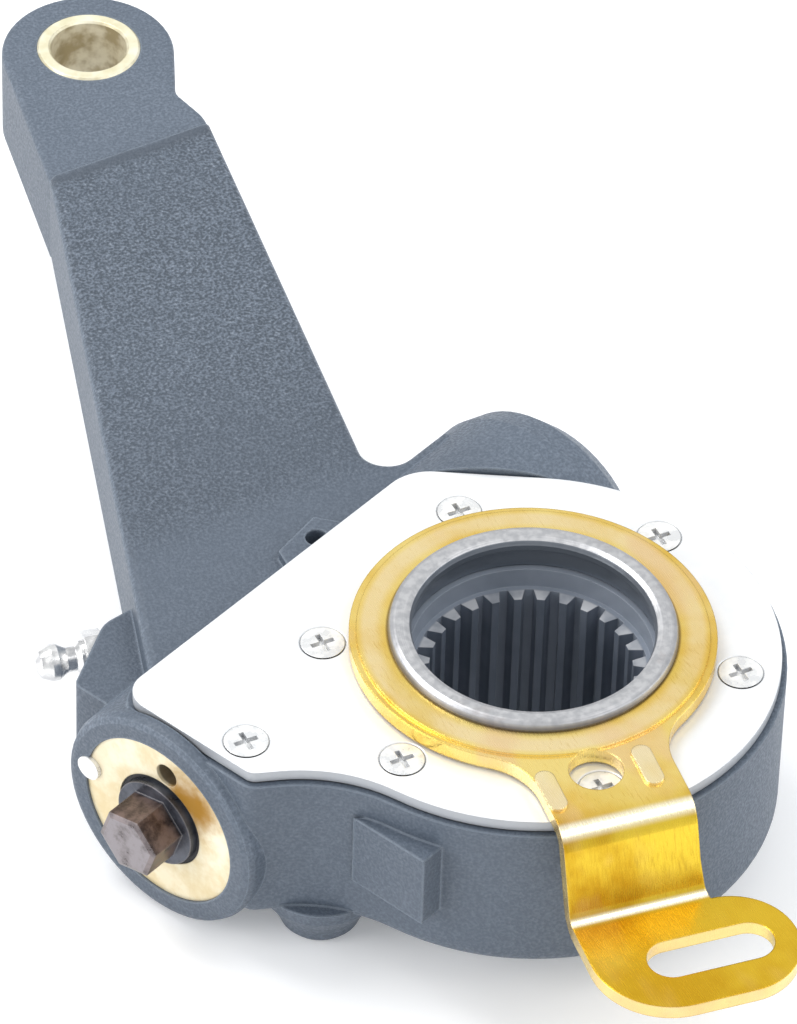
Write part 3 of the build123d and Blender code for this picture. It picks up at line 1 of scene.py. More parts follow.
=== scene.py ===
"""Looks of the brake slack adjuster: finishes, floor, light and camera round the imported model.

Everything is in metres in the model's own frame: +Z along the camshaft bore, +Y along the lever.
Colours are linear red, green and blue. In a pair of lengths or levels, a mask is empty at the
first and full at the second. In a pair of colours, the first shows where the mask is empty.
"""

import json
import math

import bpy
from mathutils import Matrix, Vector


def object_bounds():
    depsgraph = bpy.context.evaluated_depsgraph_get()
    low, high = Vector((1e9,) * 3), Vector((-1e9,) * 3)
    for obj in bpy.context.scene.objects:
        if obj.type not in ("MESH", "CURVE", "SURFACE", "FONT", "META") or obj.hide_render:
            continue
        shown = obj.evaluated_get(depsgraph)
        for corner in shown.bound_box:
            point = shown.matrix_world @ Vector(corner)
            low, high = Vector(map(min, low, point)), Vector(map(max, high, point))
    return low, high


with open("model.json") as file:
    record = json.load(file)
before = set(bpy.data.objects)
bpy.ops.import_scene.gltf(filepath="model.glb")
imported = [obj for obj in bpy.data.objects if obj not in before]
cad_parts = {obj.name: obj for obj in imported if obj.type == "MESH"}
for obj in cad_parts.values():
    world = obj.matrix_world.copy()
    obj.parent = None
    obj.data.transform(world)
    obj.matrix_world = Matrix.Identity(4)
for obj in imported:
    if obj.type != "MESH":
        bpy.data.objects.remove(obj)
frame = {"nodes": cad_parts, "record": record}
cad_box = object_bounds()
nodes = frame["nodes"]

MM = 0.001

# Levels of a noise, from a wide change of tone to a crisp one, and of facing up.
WIDE = (0.2, 0.8)
SOFT = (0.3, 0.7)
CRISP = (0.35, 0.65)
LEVEL = (0.6, 0.9)
EDGE_LEVELS = (0.98, 0.75)
BEVEL_SAMPLES = 4

WORM_ANGLE = math.radians(23.32)
WORM_DIR = Vector((math.cos(WORM_ANGLE), math.sin(WORM_ANGLE), 0))
SIDE_DIR = Vector((-math.sin(WORM_ANGLE), math.cos(WORM_ANGLE), 0))
WORM_OFFSET = 33 * MM
WORM_HEIGHT = 21 * MM
WORM_CENTRE = SIDE_DIR * WORM_OFFSET + Vector((0, 0, WORM_HEIGHT))
ARM_ANGLE = math.radians(263.1)
SLEEVE_R = 24.5 * MM


class Finish:
    """A node material with short calls for what the finishes here share."""

    def __init__(self, name, color, metallic=0.0, roughness=0.5):
        self.mat = bpy.data.materials.new(name)
        self.mat.use_nodes = True
        self.tree = self.mat.node_tree
        self.shader = self.tree.nodes["Principled BSDF"]
        self.shader.inputs["Metallic"].default_value = metallic
        self.shader.inputs["Roughness"].default_value = roughness
        self.shader.inputs["Base Color"].default_value = (*color, 1)
        self.place = self.node("ShaderNodeTexCoord").outputs["Object"]

    def node(self, kind, **values):
        made = self.tree.nodes.new(kind)
        for key, value in values.items():
            setattr(made, key, value)
        return made

    def link(self, source, target):
        """Feed a socket from a number, a tuple or another socket."""
        if isinstance(source, (int, float)):
            target.default_value = source
        elif isinstance(source, tuple):
            target.default_value = (*source, 1) if len(target.default_value) == 4 else source
        else:
            self.tree.links.new(source, target)

    def math(self, operation, a, b):
        made = self.node("ShaderNodeMath", operation=operation)
        self.link(a, made.inputs[0])
        self.link(b, made.inputs[1])
        return made.outputs[0]

    def times(self, a, b):
        return self.math("MULTIPLY", a, b)

    def add(self, a, b):
        return self.math("ADD", a, b)

    def vector_math(self, operation, a, b, output="Value"):
        made = self.node("ShaderNodeVectorMath", operation=operation)
        self.link(a, made.inputs[0])
        self.link(b, made.inputs[1])
        return made.outputs[output]

    def noise(self, scale, detail=3.0, roughness=0.55, stretch=(1, 1, 1), turn=0.0):
        spread = self.node("ShaderNodeMapping")
        self.link(self.place, spread.inputs["Vector"])
        spread.inputs["Scale"].default_value = stretch
        spread.inputs["Rotation"].default_value = (0, 0, turn)
        made = self.node("ShaderNodeTexNoise")
        self.link(spread.outputs[0], made.inputs["Vector"])
        made.inputs["Scale"].default_value = scale
        made.inputs["Detail"].default_value = detail
        made.inputs["Roughness"].default_value = roughness
        return made.outputs["Fac"]

    def wander(self, noise, reach):
        """A length that strays by up to half the reach to either side."""
        return self.times(self.math("SUBTRACT", noise, 0.5), reach)

    def ramp(self, value, low, high, bottom=0.0, top=1.0):
        made = self.node("ShaderNodeMapRange", interpolation_type="SMOOTHSTEP")
        self.link(value, made.inputs["Value"])
        made.inputs["From Min"].default_value = low
        made.inputs["From Max"].default_value = high
        made.inputs["To Min"].default_value = bottom
        made.inputs["To Max"].default_value = top
        return made.outputs["Result"]

    def mix(self, factor, a, b):
        made = self.node("ShaderNodeMix", data_type="RGBA")
        self.link(factor, made.inputs["Factor"])
        self.link(a, made.inputs[6])
        self.link(b, made.inputs[7])
        return made.outputs[2]

    def tint(self, tone, mask, amount, color):
        """The tone, turned towards a colour by an amount where the mask is full."""
        return self.mix(self.times(mask, amount), tone, color)

    def axis(self, name):
        made = self.node("ShaderNodeSeparateXYZ")
        self.link(self.place, made.inputs[0])
        return made.outputs[name]

    def upward(self):
        """How far the surface faces up, from the mesh's own normal."""
        look = self.node("ShaderNodeNewGeometry")
        made = self.node("ShaderNodeSeparateXYZ")
        self.link(look.outputs["Normal"], made.inputs[0])
        return made.outputs["Z"]

    def facing(self, direction):
        """How far the surface faces a direction, from the mesh's own normal."""
        look = self.node("ShaderNodeNewGeometry")
        return self.vector_math("DOT_PRODUCT", look.outputs["Normal"], tuple(direction))

    def along(self, direction):
        """Place along a direction, measured from the camshaft axis."""
        return self.vector_math("DOT_PRODUCT", self.place, tuple(direction))

    def radius(self):
        """Distance from the camshaft axis."""
        flat = self.vector_math("MULTIPLY", self.place, (1, 1, 0), "Vector")
        made = self.node("ShaderNodeVectorMath", operation="LENGTH")
        self.link(flat, made.inputs[0])
        return made.outputs["Value"]

    def distance(self, point):
        return self.vector_math("DISTANCE", self.place, tuple(point))

    def edges(self, radius):
        """A mask that is full along edges, and the normal rounded over them."""
        flat = self.node("ShaderNodeNewGeometry").outputs["Normal"]
        rounded = self.node("ShaderNodeBevel", samples=BEVEL_SAMPLES)
        rounded.inputs["Radius"].default_value = radius
        agree = self.vector_math("DOT_PRODUCT", flat, rounded.outputs[0])
        return self.ramp(agree, *EDGE_LEVELS), rounded.outputs[0]

    def bump(self, height, distance, strength, normal=None):
        made = self.node("ShaderNodeBump")
        self.link(height, made.inputs["Height"])
        made.inputs["Distance"].default_value = distance
        self.link(strength, made.inputs["Strength"])
        if normal is not None:
            self.link(normal, made.inputs["Normal"])
        return made.outputs[0]

    def use(self, color, roughness=None, normal=None):
        self.link(color, self.shader.inputs["Base Color"])
        if roughness is not None:
            self.link(roughness, self.shader.inputs["Roughness"])
        if normal is not None:
            self.link(normal, self.shader.inputs["Normal"])
        return self.mat


# The pebbled skin of the lever ends at a slanting line below the clevis eye.
STEP_Y = 149 * MM
STEP_SLOPE = 0.06
STEP_FADE = 2.5 * MM
STEP_WANDER = 3 * MM
LEVER_START = (50 * MM, 62 * MM)
# Where painted shade darkens the lever's top towards the plate, along the lever and across it.
LEVER_FOOT = (105 * MM, 58 * MM)
LEVER_FOOT_SIDE = (20 * MM, 8 * MM)
# Painted shade: a dark crease along that line.
CREASE_BELOW = (STEP_Y - 3 * MM, STEP_Y - 0.8 * MM)
CREASE_ABOVE = (STEP_Y + 1.4 * MM, STEP_Y)
PEBBLE_DEPTH = 0.4 * MM
GRAIN_DEPTH = 0.08 * MM
PRIMER = (0.14, 0.17, 0.21)
PRIMER_CRESTS = ((0.122, 0.152, 0.196), (0.144, 0.176, 0.225))
PRIMER_PIT_SHADE = ((0.108, 0.137, 0.18), (0.052, 0.068, 0.09))
PRIMER_CLOUD = (0.085, 0.11, 0.146)
PRIMER_CREST_HIGHLIGHT = (0.32, 0.36, 0.42)
PRIMER_WALL_SHADE = (0.066, 0.086, 0.116)
PRIMER_FOOT_SHADE = (0.062, 0.08, 0.108)
PRIMER_CREASE_SHADE = (0.045, 0.058, 0.078)
PRIMER_EDGE_HIGHLIGHT = (0.34, 0.4, 0.48)


def painted_casting():
    """Blue-grey primer on a sand casting, pebbled along the lever and finer elsewhere; painted
    highlights on edges and crests, painted shade in pits, on walls, at the lever's foot and crease.
    """
    f = Finish("painted_casting", PRIMER)
    grain = f.noise(1900, detail=2, roughness=0.5)
    coarse = f.noise(800, detail=2)
    fine = f.noise(4200, detail=2)
    cloud = f.noise(26)
    edge, rounded = f.edges(0.8 * MM)
    step = f.add(f.axis("Y"), f.times(f.axis("X"), -STEP_SLOPE))
    step = f.add(step, f.wander(f.noise(140), STEP_WANDER))
    on_lever = f.times(f.ramp(step, STEP_Y, STEP_Y - STEP_FADE), f.ramp(step, *LEVER_START))
    pebbled = f.times(on_lever, f.ramp(f.upward(), *LEVEL))
    skin = f.add(0.3, f.times(pebbled, 0.7))
    pale = f.mix(f.ramp(coarse, *CRISP), *PRIMER_CRESTS)
    # Painted shade: the pits of the grain darken as the pebbling deepens.
    dark = f.mix(skin, *PRIMER_PIT_SHADE)
    tone = f.mix(f.ramp(grain, 0.36, 0.64), dark, pale)
    tone = f.tint(tone, f.ramp(cloud, 0.42, 0.7), 0.3, PRIMER_CLOUD)
    # Painted highlight on the crests of the pebbled skin.
    tone = f.tint(tone, f.times(f.ramp(grain, 0.62, 0.74), skin), 0.5, PRIMER_CREST_HIGHLIGHT)
    # Painted shade: faces that stand upright are darkened.
    tone = f.tint(tone, f.ramp(f.upward(), 0.25, 0.03), 0.5, PRIMER_WALL_SHADE)
    # Painted shade: the lever's top darkens towards the plate.
    lever_foot_shade = f.times(f.ramp(step, *LEVER_FOOT), f.ramp(f.upward(), *LEVEL))
    lever_foot_shade = f.times(lever_foot_shade, f.ramp(f.axis("X"), *LEVER_FOOT_SIDE))
    tone = f.tint(tone, lever_foot_shade, 0.4, PRIMER_FOOT_SHADE)
    # Painted shade along the step where the pebbled skin meets the eye.
    crease_shade = f.times(f.ramp(step, *CREASE_BELOW), f.ramp(step, *CREASE_ABOVE))
    crease_shade = f.times(crease_shade, f.ramp(f.upward(), 0.3, 0.6))
    tone = f.tint(tone, crease_shade, 0.6, PRIMER_CREASE_SHADE)
    # Painted highlight along the edges.
    tone = f.tint(tone, edge, 0.75, PRIMER_EDGE_HIGHLIGHT)
    pebbles = f.bump(grain, PEBBLE_DEPTH, skin, rounded)
    shine = f.ramp(grain, *SOFT, 0.6, 0.42)
    return f.use(tone, shine, f.bump(fine, GRAIN_DEPTH, 0.6, pebbles))


DRAWN_DEPTH = 0.02 * MM
PLATE_ZINC = ((0.84, 0.86, 0.885), (0.94, 0.945, 0.95))
PLATE_SIDE_SHADE = (0.3, 0.32, 0.35)
SCREW_ZINC = ((0.72, 0.73, 0.74), (0.93, 0.93, 0.91))
SCREW_SIDE_SHADE = (0.42, 0.43, 0.46)
SCREW_EDGE = (0.5, 0.51, 0.53)
PIN_ZINC = ((0.84, 0.84, 0.84), (0.96, 0.96, 0.94))
PIN_EDGE = (0.98, 0.98, 0.98)


def zinc_plate():
    """White zinc on the cover plate, faintly drawn across the worm, with painted shade on its side
    faces.
    """
    f = Finish("zinc_plate", (0.9, 0.91, 0.92), metallic=0.3, roughness=0.32)
    cloud = f.noise(45, detail=5, roughness=0.6)
    drawn = f.noise(260, stretch=(1, 14, 1), turn=WORM_ANGLE)
    rounded = f.edges(0.3 * MM)[1]
    tone = f.mix(f.ramp(cloud, 0.35, 0.68), *PLATE_ZINC)
    # Painted shade on the plate's side faces.
    tone = f.tint(tone, f.ramp(f.upward(), 0.6, 0.3), 0.8, PLATE_SIDE_SHADE)
    shine = f.ramp(drawn, 0.25, 0.75, 0.28, 0.42)
    return f.use(tone, shine, f.bump(drawn, DRAWN_DEPTH, 0.5, rounded))


def zinc_screws():
    """Bright zinc on the cover screws, with painted shade down the sides of their slots."""
    f = Finish("zinc_screws", (0.8, 0.8, 0.78), metallic=0.3, roughness=0.3)
    cloud = f.noise(420)
    edge, rounded = f.edges(0.2 * MM)
    tone = f.mix(f.ramp(cloud, *CRISP), *SCREW_ZINC)
    # Painted shade down the sides of the slots.
    tone = f.tint(tone, f.ramp(f.upward(), 0.75, 0.4), 0.5, SCREW_SIDE_SHADE)
    tone = f.tint(tone, edge, 0.25, SCREW_EDGE)
    return f.use(tone, f.ramp(cloud, *WIDE, 0.22, 0.4), rounded)


def pin_zinc():
    """The lock pin's bright end in the worm end cover."""
    f = Finish("pin_zinc", (0.9, 0.9, 0.88), metallic=0.4, roughness=0.3)
    cloud = f.noise(520)
    edge, rounded = f.edges(0.2 * MM)
    tone = f.mix(f.ramp(cloud, *CRISP), *PIN_ZINC)
    tone = f.tint(tone, edge, 0.4, PIN_EDGE)
    return f.use(tone, f.ramp(cloud, *WIDE, 0.24, 0.42), rounded)


# Distances from the camshaft axis where the arm's gold changes, and heights of its pads and foot.
PEACH_INNER = (25 * MM, 27 * MM)
PEACH_OUTER = (29.7 * MM, 28.4 * MM)
ARM_START = (31 * MM, 33 * MM)
STRIP_START = (41 * MM, 48 * MM)
BEND_START = (41 * MM, 43 * MM)
BLUSH_END = (50 * MM, 40 * MM)
SLEEVE_JOINT = (SLEEVE_R + 0.5 * MM, SLEEVE_R + 0.1 * MM)
PAD_TOPS = (45.1 * MM, 45.3 * MM)
FOOT_TOP = (32 * MM, 29.5 * MM)
GOLD_RING = ((0.88, 0.57, 0.1), (1.0, 0.78, 0.26))
GOLD_STRIP = ((0.58, 0.31, 0.008), (0.86, 0.61, 0.05))
GOLD_PEACH_HIGHLIGHT = (1.0, 0.81, 0.47)
GOLD_BLUSH = (0.92, 0.62, 0.34)
GOLD_DULL = (0.84, 0.6, 0.09)
GOLD_WORN = (0.5, 0.3, 0.04)
GOLD_PAD_HIGHLIGHT = (1.0, 0.88, 0.6)
GOLD_AMBER = (0.84, 0.5, 0.02)
GOLD_BEND_HIGHLIGHT = (1.0, 0.94, 0.74)
GOLD_SIDE_HIGHLIGHT = (0.96, 0.8, 0.48)
GOLD_JOINT = (0.16, 0.09, 0.03)
GOLD_EDGE = (0.66, 0.38, 0.05)


def yellow_chromate():
    """Gold chromate: peach on the flat ring and paled there as a painted highlight, deep down the
    strip, with painted highlights at its bends, pad tops and sides.
    """
    f = Finish("yellow_chromate", (0.88, 0.6, 0.12), metallic=0.85, roughness=0.24)
    cloud = f.noise(42, detail=4, roughness=0.6)
    sheen = f.noise(95, detail=2, stretch=(1, 0.45, 1), turn=ARM_ANGLE)
    drawn = f.noise(420, stretch=(9, 1, 1), turn=-ARM_ANGLE)
    edge, rounded = f.edges(0.4 * MM)
    reach = f.radius()
    ring = f.mix(f.ramp(cloud, 0.36, 0.64), *GOLD_RING)
    # The flat ring's peach tone, paled further as a painted highlight.
    peach_highlight = f.times(f.ramp(reach, *PEACH_INNER), f.ramp(reach, *PEACH_OUTER))
    ring = f.tint(ring, peach_highlight, f.ramp(cloud, 0.35, 0.6, 0.4, 0.8), GOLD_PEACH_HIGHLIGHT)
    strip = f.mix(f.ramp(cloud, 0.38, 0.62), *GOLD_STRIP)
    tone = f.mix(f.ramp(reach, *STRIP_START), ring, strip)
    blush = f.ramp(sheen, 0.55, 0.7)
    tone = f.tint(tone, blush, f.ramp(reach, *BLUSH_END, 0.2, 0.5), GOLD_BLUSH)
    tone = f.tint(tone, f.ramp(sheen, 0.42, 0.3), 0.35, GOLD_DULL)
    worn = f.times(f.ramp(drawn, 0.52, 0.74), f.ramp(sheen, 0.62, 0.4, 0.1, 0.45))
    tone = f.tint(tone, worn, f.ramp(f.upward(), 0.1, 0.4), GOLD_WORN)
    outer = f.ramp(reach, *ARM_START)
    # Painted highlight on the tops of the pads.
    pad_highlight = f.times(outer, f.ramp(f.axis("Z"), *PAD_TOPS))
    tone = f.tint(tone, pad_highlight, f.ramp(sheen, 0.4, 0.6, 0.2, 0.7), GOLD_PAD_HIGHLIGHT)
    amber = f.times(f.ramp(f.axis("Z"), *FOOT_TOP), f.ramp(f.upward(), *LEVEL))
    tone = f.tint(tone, amber, 0.5, GOLD_AMBER)
    # Painted highlight across the bends of the strip.
    bend_highlight = f.times(f.ramp(f.upward(), 0.56, 0.78), f.ramp(f.upward(), 0.985, 0.93))
    bend_highlight = f.times(bend_highlight, f.ramp(reach, *BEND_START))
    tone = f.tint(tone, bend_highlight, 0.8, GOLD_BEND_HIGHLIGHT)
    # Painted highlight on the arm's upright side faces.
    side_highlight = f.times(outer, f.ramp(f.upward(), 0.12, 0.04))
    tone = f.tint(tone, side_highlight, 0.5, GOLD_SIDE_HIGHLIGHT)
    tone = f.tint(tone, f.ramp(reach, *SLEEVE_JOINT), 0.7, GOLD_JOINT)
    tone = f.tint(tone, edge, 0.4, GOLD_EDGE)
    shine = f.ramp(drawn, 0.25, 0.75, 0.17, 0.32)
    return f.use(tone, shine, f.bump(drawn, DRAWN_DEPTH, 0.5, rounded))


# Distances from the camshaft axis: the sleeve's mouth, its lip and the foot of the lip.
MOUTH = (22.8 * MM, 22.2 * MM)
LIP_OUTER = (23.2 * MM, 23.9 * MM)
LIP_FOOT = (SLEEVE_R - 0.35 * MM, SLEEVE_R - 0.05 * MM)
TURNED_RINGS = 900
TURNED_DISTORTION = 0.6
TURNED_DEPTH = 0.015 * MM
SLEEVE_STEEL = ((0.46, 0.465, 0.48), (0.58, 0.58, 0.59))
SLEEVE_OUTER_REFLECTION = (0.27, 0.27, 0.285)
SLEEVE_FOOT = (0.1, 0.09, 0.1)
SLEEVE_RUST = (0.3, 0.23, 0.2)
SLEEVE_EDGE = (0.8, 0.81, 0.83)
SLEEVE_INSIDE = (0.2, 0.225, 0.262)


def ground_steel():
    """Turned steel sleeve: silver on its lip, grey towards its outer edge as a painted reflection,
    dark inside its mouth.
    """
    f = Finish("ground_steel", (0.6, 0.6, 0.62), metallic=0.65, roughness=0.36)
    cloud = f.noise(700)
    turned = f.node("ShaderNodeTexWave", wave_type="RINGS", rings_direction="Z")
    f.link(f.place, turned.inputs["Vector"])
    turned.inputs["Scale"].default_value = TURNED_RINGS
    turned.inputs["Distortion"].default_value = TURNED_DISTORTION
    edge, rounded = f.edges(0.25 * MM)
    reach = f.radius()
    tone = f.mix(f.ramp(cloud, *CRISP), *SLEEVE_STEEL)
    # Painted reflection: the lip turns grey towards its outer edge, as a rounded lip would reflect.
    tone = f.tint(tone, f.ramp(reach, *LIP_OUTER), 0.45, SLEEVE_OUTER_REFLECTION)
    tone = f.tint(tone, f.ramp(reach, *LIP_FOOT), 0.7, SLEEVE_FOOT)
    tone = f.tint(tone, f.ramp(f.noise(160, detail=4), 0.58, 0.72), 0.25, SLEEVE_RUST)
    tone = f.tint(tone, edge, 0.4, SLEEVE_EDGE)
    inside = f.times(f.ramp(reach, *MOUTH), f.ramp(f.upward(), 0.7, 0.3))
    tone = f.mix(inside, tone, SLEEVE_INSIDE)
    shine = f.ramp(cloud, *SOFT, 0.3, 0.38)
    return f.use(tone, shine, f.bump(turned.outputs["Fac"], TURNED_DEPTH, 0.6, rounded))


STEEL_DEPTH = 0.03 * MM
BRIGHT_GAIN = 1.5
BRIGHT_LIFT = 0.12
SMOOTHER = 0.08
ROUGHER = 0.1


def plain_steel(name, dark, light, roughness=0.32):
    """A steel that shows little: clouded between two tones, brighter at its edges."""
    f = Finish(name, light, metallic=0.95, roughness=roughness)
    cloud = f.noise(500)
    edge, rounded = f.edges(0.2 * MM)
    tone = f.mix(f.ramp(cloud, *SOFT), dark, light)
    bright = tuple(min(1.0, c * BRIGHT_GAIN + BRIGHT_LIFT) for c in light)
    tone = f.tint(tone, edge, 0.5, bright)
    shine = f.ramp(cloud, *WIDE, roughness - SMOOTHER, roughness + ROUGHER)
    return f.use(tone, shine, f.bump(cloud, STEEL_DEPTH, 0.4, rounded))


# Distances from the camshaft axis: down the spline's flanks, its collar and its tooth tops.
SPLINE_DEEP = (18.6 * MM, 17.4 * MM)
SPLINE_COLLAR = (19.6 * MM, 19.9 * MM)
SPLINE_TOPS = (19.9 * MM, 19.4 * MM)
STREAK_DEPTH = 0.05 * MM
WHEEL_STEEL = ((0.18, 0.21, 0.26), (0.23, 0.26, 0.32))
WHEEL_STREAK = (0.3, 0.33, 0.38)
WHEEL_TIP_SHADE = (0.06, 0.08, 0.11)
WHEEL_ROOT_LIGHT_AND_COLLAR = (0.34, 0.38, 0.44)
WHEEL_TOPS = (0.56, 0.57, 0.59)
WHEEL_EDGE = (0.4, 0.42, 0.45)


def wheel_steel():
    """Dark blue-grey flanks, with painted shade at the tooth tips and painted light at the roots; the
    turned upper ends of the spline's teeth left brighter.
    """
    f = Finish("wheel_steel", (0.2, 0.23, 0.28), metallic=0.15, roughness=0.42)
    cloud = f.noise(160)
    streak = f.noise(260, detail=2, stretch=(1, 1, 0.08))
    edge, rounded = f.edges(0.25 * MM)
    reach = f.radius()
    tone = f.mix(f.ramp(cloud, *SOFT), *WHEEL_STEEL)
    tone = f.tint(tone, f.ramp(streak, 0.5, 0.7), 0.2, WHEEL_STREAK)
    # Painted shade on the tooth tips nearest the axis.
    tone = f.tint(tone, f.ramp(reach, *SPLINE_DEEP), 0.4, WHEEL_TIP_SHADE)
    # Painted light lifts the tooth roots; the collar beyond them has its own paler tone.
    tone = f.tint(tone, f.ramp(reach, *SPLINE_COLLAR), 0.5, WHEEL_ROOT_LIGHT_AND_COLLAR)
    tops = f.times(f.ramp(f.upward(), 0.85, 0.97), f.ramp(cloud, 0.36, 0.6, 0.35, 1.0))
    tone = f.tint(tone, tops, f.ramp(reach, *SPLINE_TOPS), WHEEL_TOPS)
    tone = f.tint(tone, edge, 0.4, WHEEL_EDGE)
    shine = f.ramp(streak, *SOFT, 0.46, 0.6)
    return f.use(tone, shine, f.bump(streak, STREAK_DEPTH, 0.4, rounded))


# Distances along the worm, which runs towards the end cover on its negative side.
HEX_ROOT = -58.3 * MM
COLLAR_START = (HEX_ROOT - 0.5 * MM, HEX_ROOT - 0.1 * MM)
OXIDE_DEPTH = 0.06 * MM
OXIDE = ((0.05, 0.034, 0.03), (0.2, 0.14, 0.12))
OXIDE_END_REFLECTION = (0.3, 0.28, 0.3)
OXIDE_COLLAR = ((0.045, 0.05, 0.065), (0.12, 0.13, 0.16))
OXIDE_EDGE = (0.42, 0.37, 0.35)


def dark_steel():
    """Brown oxide on the worm shaft's hexagon, its end face paled as a painted reflection; the collar
    is blue-grey.
    """
    f = Finish("dark_steel", (0.08, 0.06, 0.055), metallic=0.6, roughness=0.38)
    cloud = f.noise(300, detail=4, roughness=0.65)
    edge, rounded = f.edges(0.4 * MM)
    tone = f.mix(f.ramp(cloud, *CRISP), *OXIDE)
    # Painted reflection on the hexagon's end face.
    end_face_reflection = f.ramp(f.facing(-WORM_DIR), 0.8, 0.97)
    tone = f.tint(tone, end_face_reflection, f.ramp(cloud, 0.3, 0.6, 0.35, 0.9), OXIDE_END_REFLECTION)
    collar = f.mix(f.ramp(cloud, *SOFT), *OXIDE_COLLAR)
    tone = f.mix(f.ramp(f.along(WORM_DIR), *COLLAR_START), tone, collar)
    tone = f.tint(tone, edge, 0.5, OXIDE_EDGE)
    shine = f.ramp(cloud, *SOFT, 0.26, 0.46)
    return f.use(tone, shine, f.bump(cloud, OXIDE_DEPTH, 0.5, rounded))


# The stain on the end cover, and how far in its key hole painted shade shows.
STAIN_ALONG = -56 * MM
STAIN_SIDE = -7 * MM
STAIN_RISE = 8 * MM
STAIN_AT = WORM_CENTRE + WORM_DIR * STAIN_ALONG + SIDE_DIR * STAIN_SIDE + Vector((0, 0, STAIN_RISE))
STAIN_SPREAD = (8.5 * MM, 2 * MM)
STAIN_WANDER = 9 * MM
RIM_START = (16 * MM, 24 * MM)
KEY_HOLE = (-56.6 * MM, -56.2 * MM)
CREAM_DEPTH = 0.04 * MM
CREAM = ((0.72, 0.59, 0.34), (0.88, 0.82, 0.64))
CREAM_STAIN = (0.42, 0.2, 0.01)
CREAM_RIM = (0.72, 0.52, 0.24)
CREAM_HOLE_SHADE = (0.1, 0.07, 0.04)
CREAM_EDGE = (0.97, 0.93, 0.8)


def cover_disc():
    """Cream-gold coating with an orange stain beside the key hole, and painted shade inside the key
    hole.
    """
    f = Finish("cover_disc", (0.9, 0.82, 0.6), metallic=0.25, roughness=0.38)
    cloud = f.noise(150, detail=4, roughness=0.65)
    edge, rounded = f.edges(0.3 * MM)
    tone = f.mix(f.ramp(cloud, *SOFT), *CREAM)
    stain = f.add(f.distance(STAIN_AT), f.wander(cloud, STAIN_WANDER))
    tone = f.tint(tone, f.ramp(stain, *STAIN_SPREAD), 0.95, CREAM_STAIN)
    rim = f.times(f.ramp(cloud, 0.5, 0.66), f.ramp(f.distance(STAIN_AT), *RIM_START))
    tone = f.tint(tone, rim, 0.35, CREAM_RIM)
    # Painted shade inside the key hole.
    tone = f.tint(tone, f.ramp(f.along(WORM_DIR), *KEY_HOLE), 0.8, CREAM_HOLE_SHADE)
    tone = f.tint(tone, edge, 0.3, CREAM_EDGE)
    shine = f.ramp(cloud, *WIDE, 0.3, 0.46)
    return f.use(tone, shine, f.bump(cloud, CREAM_DEPTH, 0.5, rounded))


BRASS_RIM = ((0.8, 0.74, 0.5), (0.92, 0.89, 0.7))
BRASS_BORE = ((0.44, 0.37, 0.23), (0.8, 0.75, 0.6))
RUBBER_DEPTH = 0.05 * MM
FIBRE_DEPTH = 0.05 * MM
RUBBER = ((0.012, 0.012, 0.014), (0.035, 0.035, 0.04))
FIBRE = ((0.035, 0.03, 0.027), (0.1, 0.085, 0.07))


def bush_brass():
    """Cream rim round the clevis bush, with a dull brown bore."""
    f = Finish("bush_brass", (0.85, 0.78, 0.55), metallic=0.4, roughness=0.36)
    cloud = f.noise(260)
    edge, rounded = f.edges(0.25 * MM)
    rim = f.mix(f.ramp(cloud, *SOFT), *BRASS_RIM)
    bore = f.mix(f.ramp(cloud, *CRISP), *BRASS_BORE)
    tone = f.mix(f.ramp(f.upward(), 0.5, 0.9), bore, rim)
    tone = f.tint(tone, edge, 0.4, CREAM_EDGE)
    return f.use(tone, f.ramp(cloud, *WIDE, 0.28, 0.45), rounded)


def seal_rubber():
    """Black rubber of the seal rings."""
    f = Finish("seal_rubber", (0.02, 0.02, 0.022), roughness=0.6)
    cloud = f.noise(700)
    tone = f.mix(cloud, *RUBBER)
    return f.use(tone, f.ramp(cloud, *WIDE, 0.5, 0.72), f.bump(cloud, RUBBER_DEPTH, 0.4))


def gasket_sheet():
    """Dark fibre of the cover gasket."""
    f = Finish("gasket_sheet", (0.06, 0.05, 0.045), roughness=0.8)
    fibre = f.noise(1400)
    tone = f.mix(fibre, *FIBRE)
    return f.use(tone, f.ramp(fibre, *WIDE, 0.7, 0.9), f.bump(fibre, FIBRE_DEPTH, 0.6))


FINISHES = {
    "painted_casting": painted_casting(),
    "bush_brass": bush_brass(),
    "zinc_plate": zinc_plate(),
    "zinc_screws": zinc_screws(),
    "pin_zinc": pin_zinc(),
    "gasket_sheet": gasket_sheet(),
    "yellow_chromate": yellow_chromate(),
    "ground_steel": ground_steel(),
    "seal_rubber": seal_rubber(),
    "gear_steel": plain_steel("gear_steel", (0.24, 0.25, 0.27), (0.42, 0.43, 0.45)),
    "wheel_steel": wheel_steel(),
    "washer_steel": plain_steel("washer_steel", (0.42, 0.42, 0.42), (0.6, 0.6, 0.6)),
    "dark_steel": dark_steel(),
    "clutch_steel": plain_steel("clutch_steel", (0.22, 0.21, 0.2), (0.38, 0.37, 0.36)),
    "bearing_steel": plain_steel("bearing_steel", (0.6, 0.61, 0.62), (0.75, 0.76, 0.77), 0.18),
    "cover_disc": cover_disc(),
    "spring_steel": plain_steel("spring_steel", (0.16, 0.17, 0.2), (0.3, 0.31, 0.35)),
    "pinion_steel": plain_steel("pinion_steel", (0.3, 0.3, 0.31), (0.5, 0.5, 0.51)),
    "nipple_zinc": plain_steel("nipple_zinc", (0.62, 0.62, 0.63), (0.93, 0.93, 0.92), 0.24),
}

for entry in frame["record"]["subparts"]:
    piece = nodes[entry["node"]]
    piece.data.materials.clear()
    finish = "pin_zinc" if entry["node"] == "end_cover_lock_pin" else entry["material_slot"]
    piece.data.materials.append(FINISHES[finish])


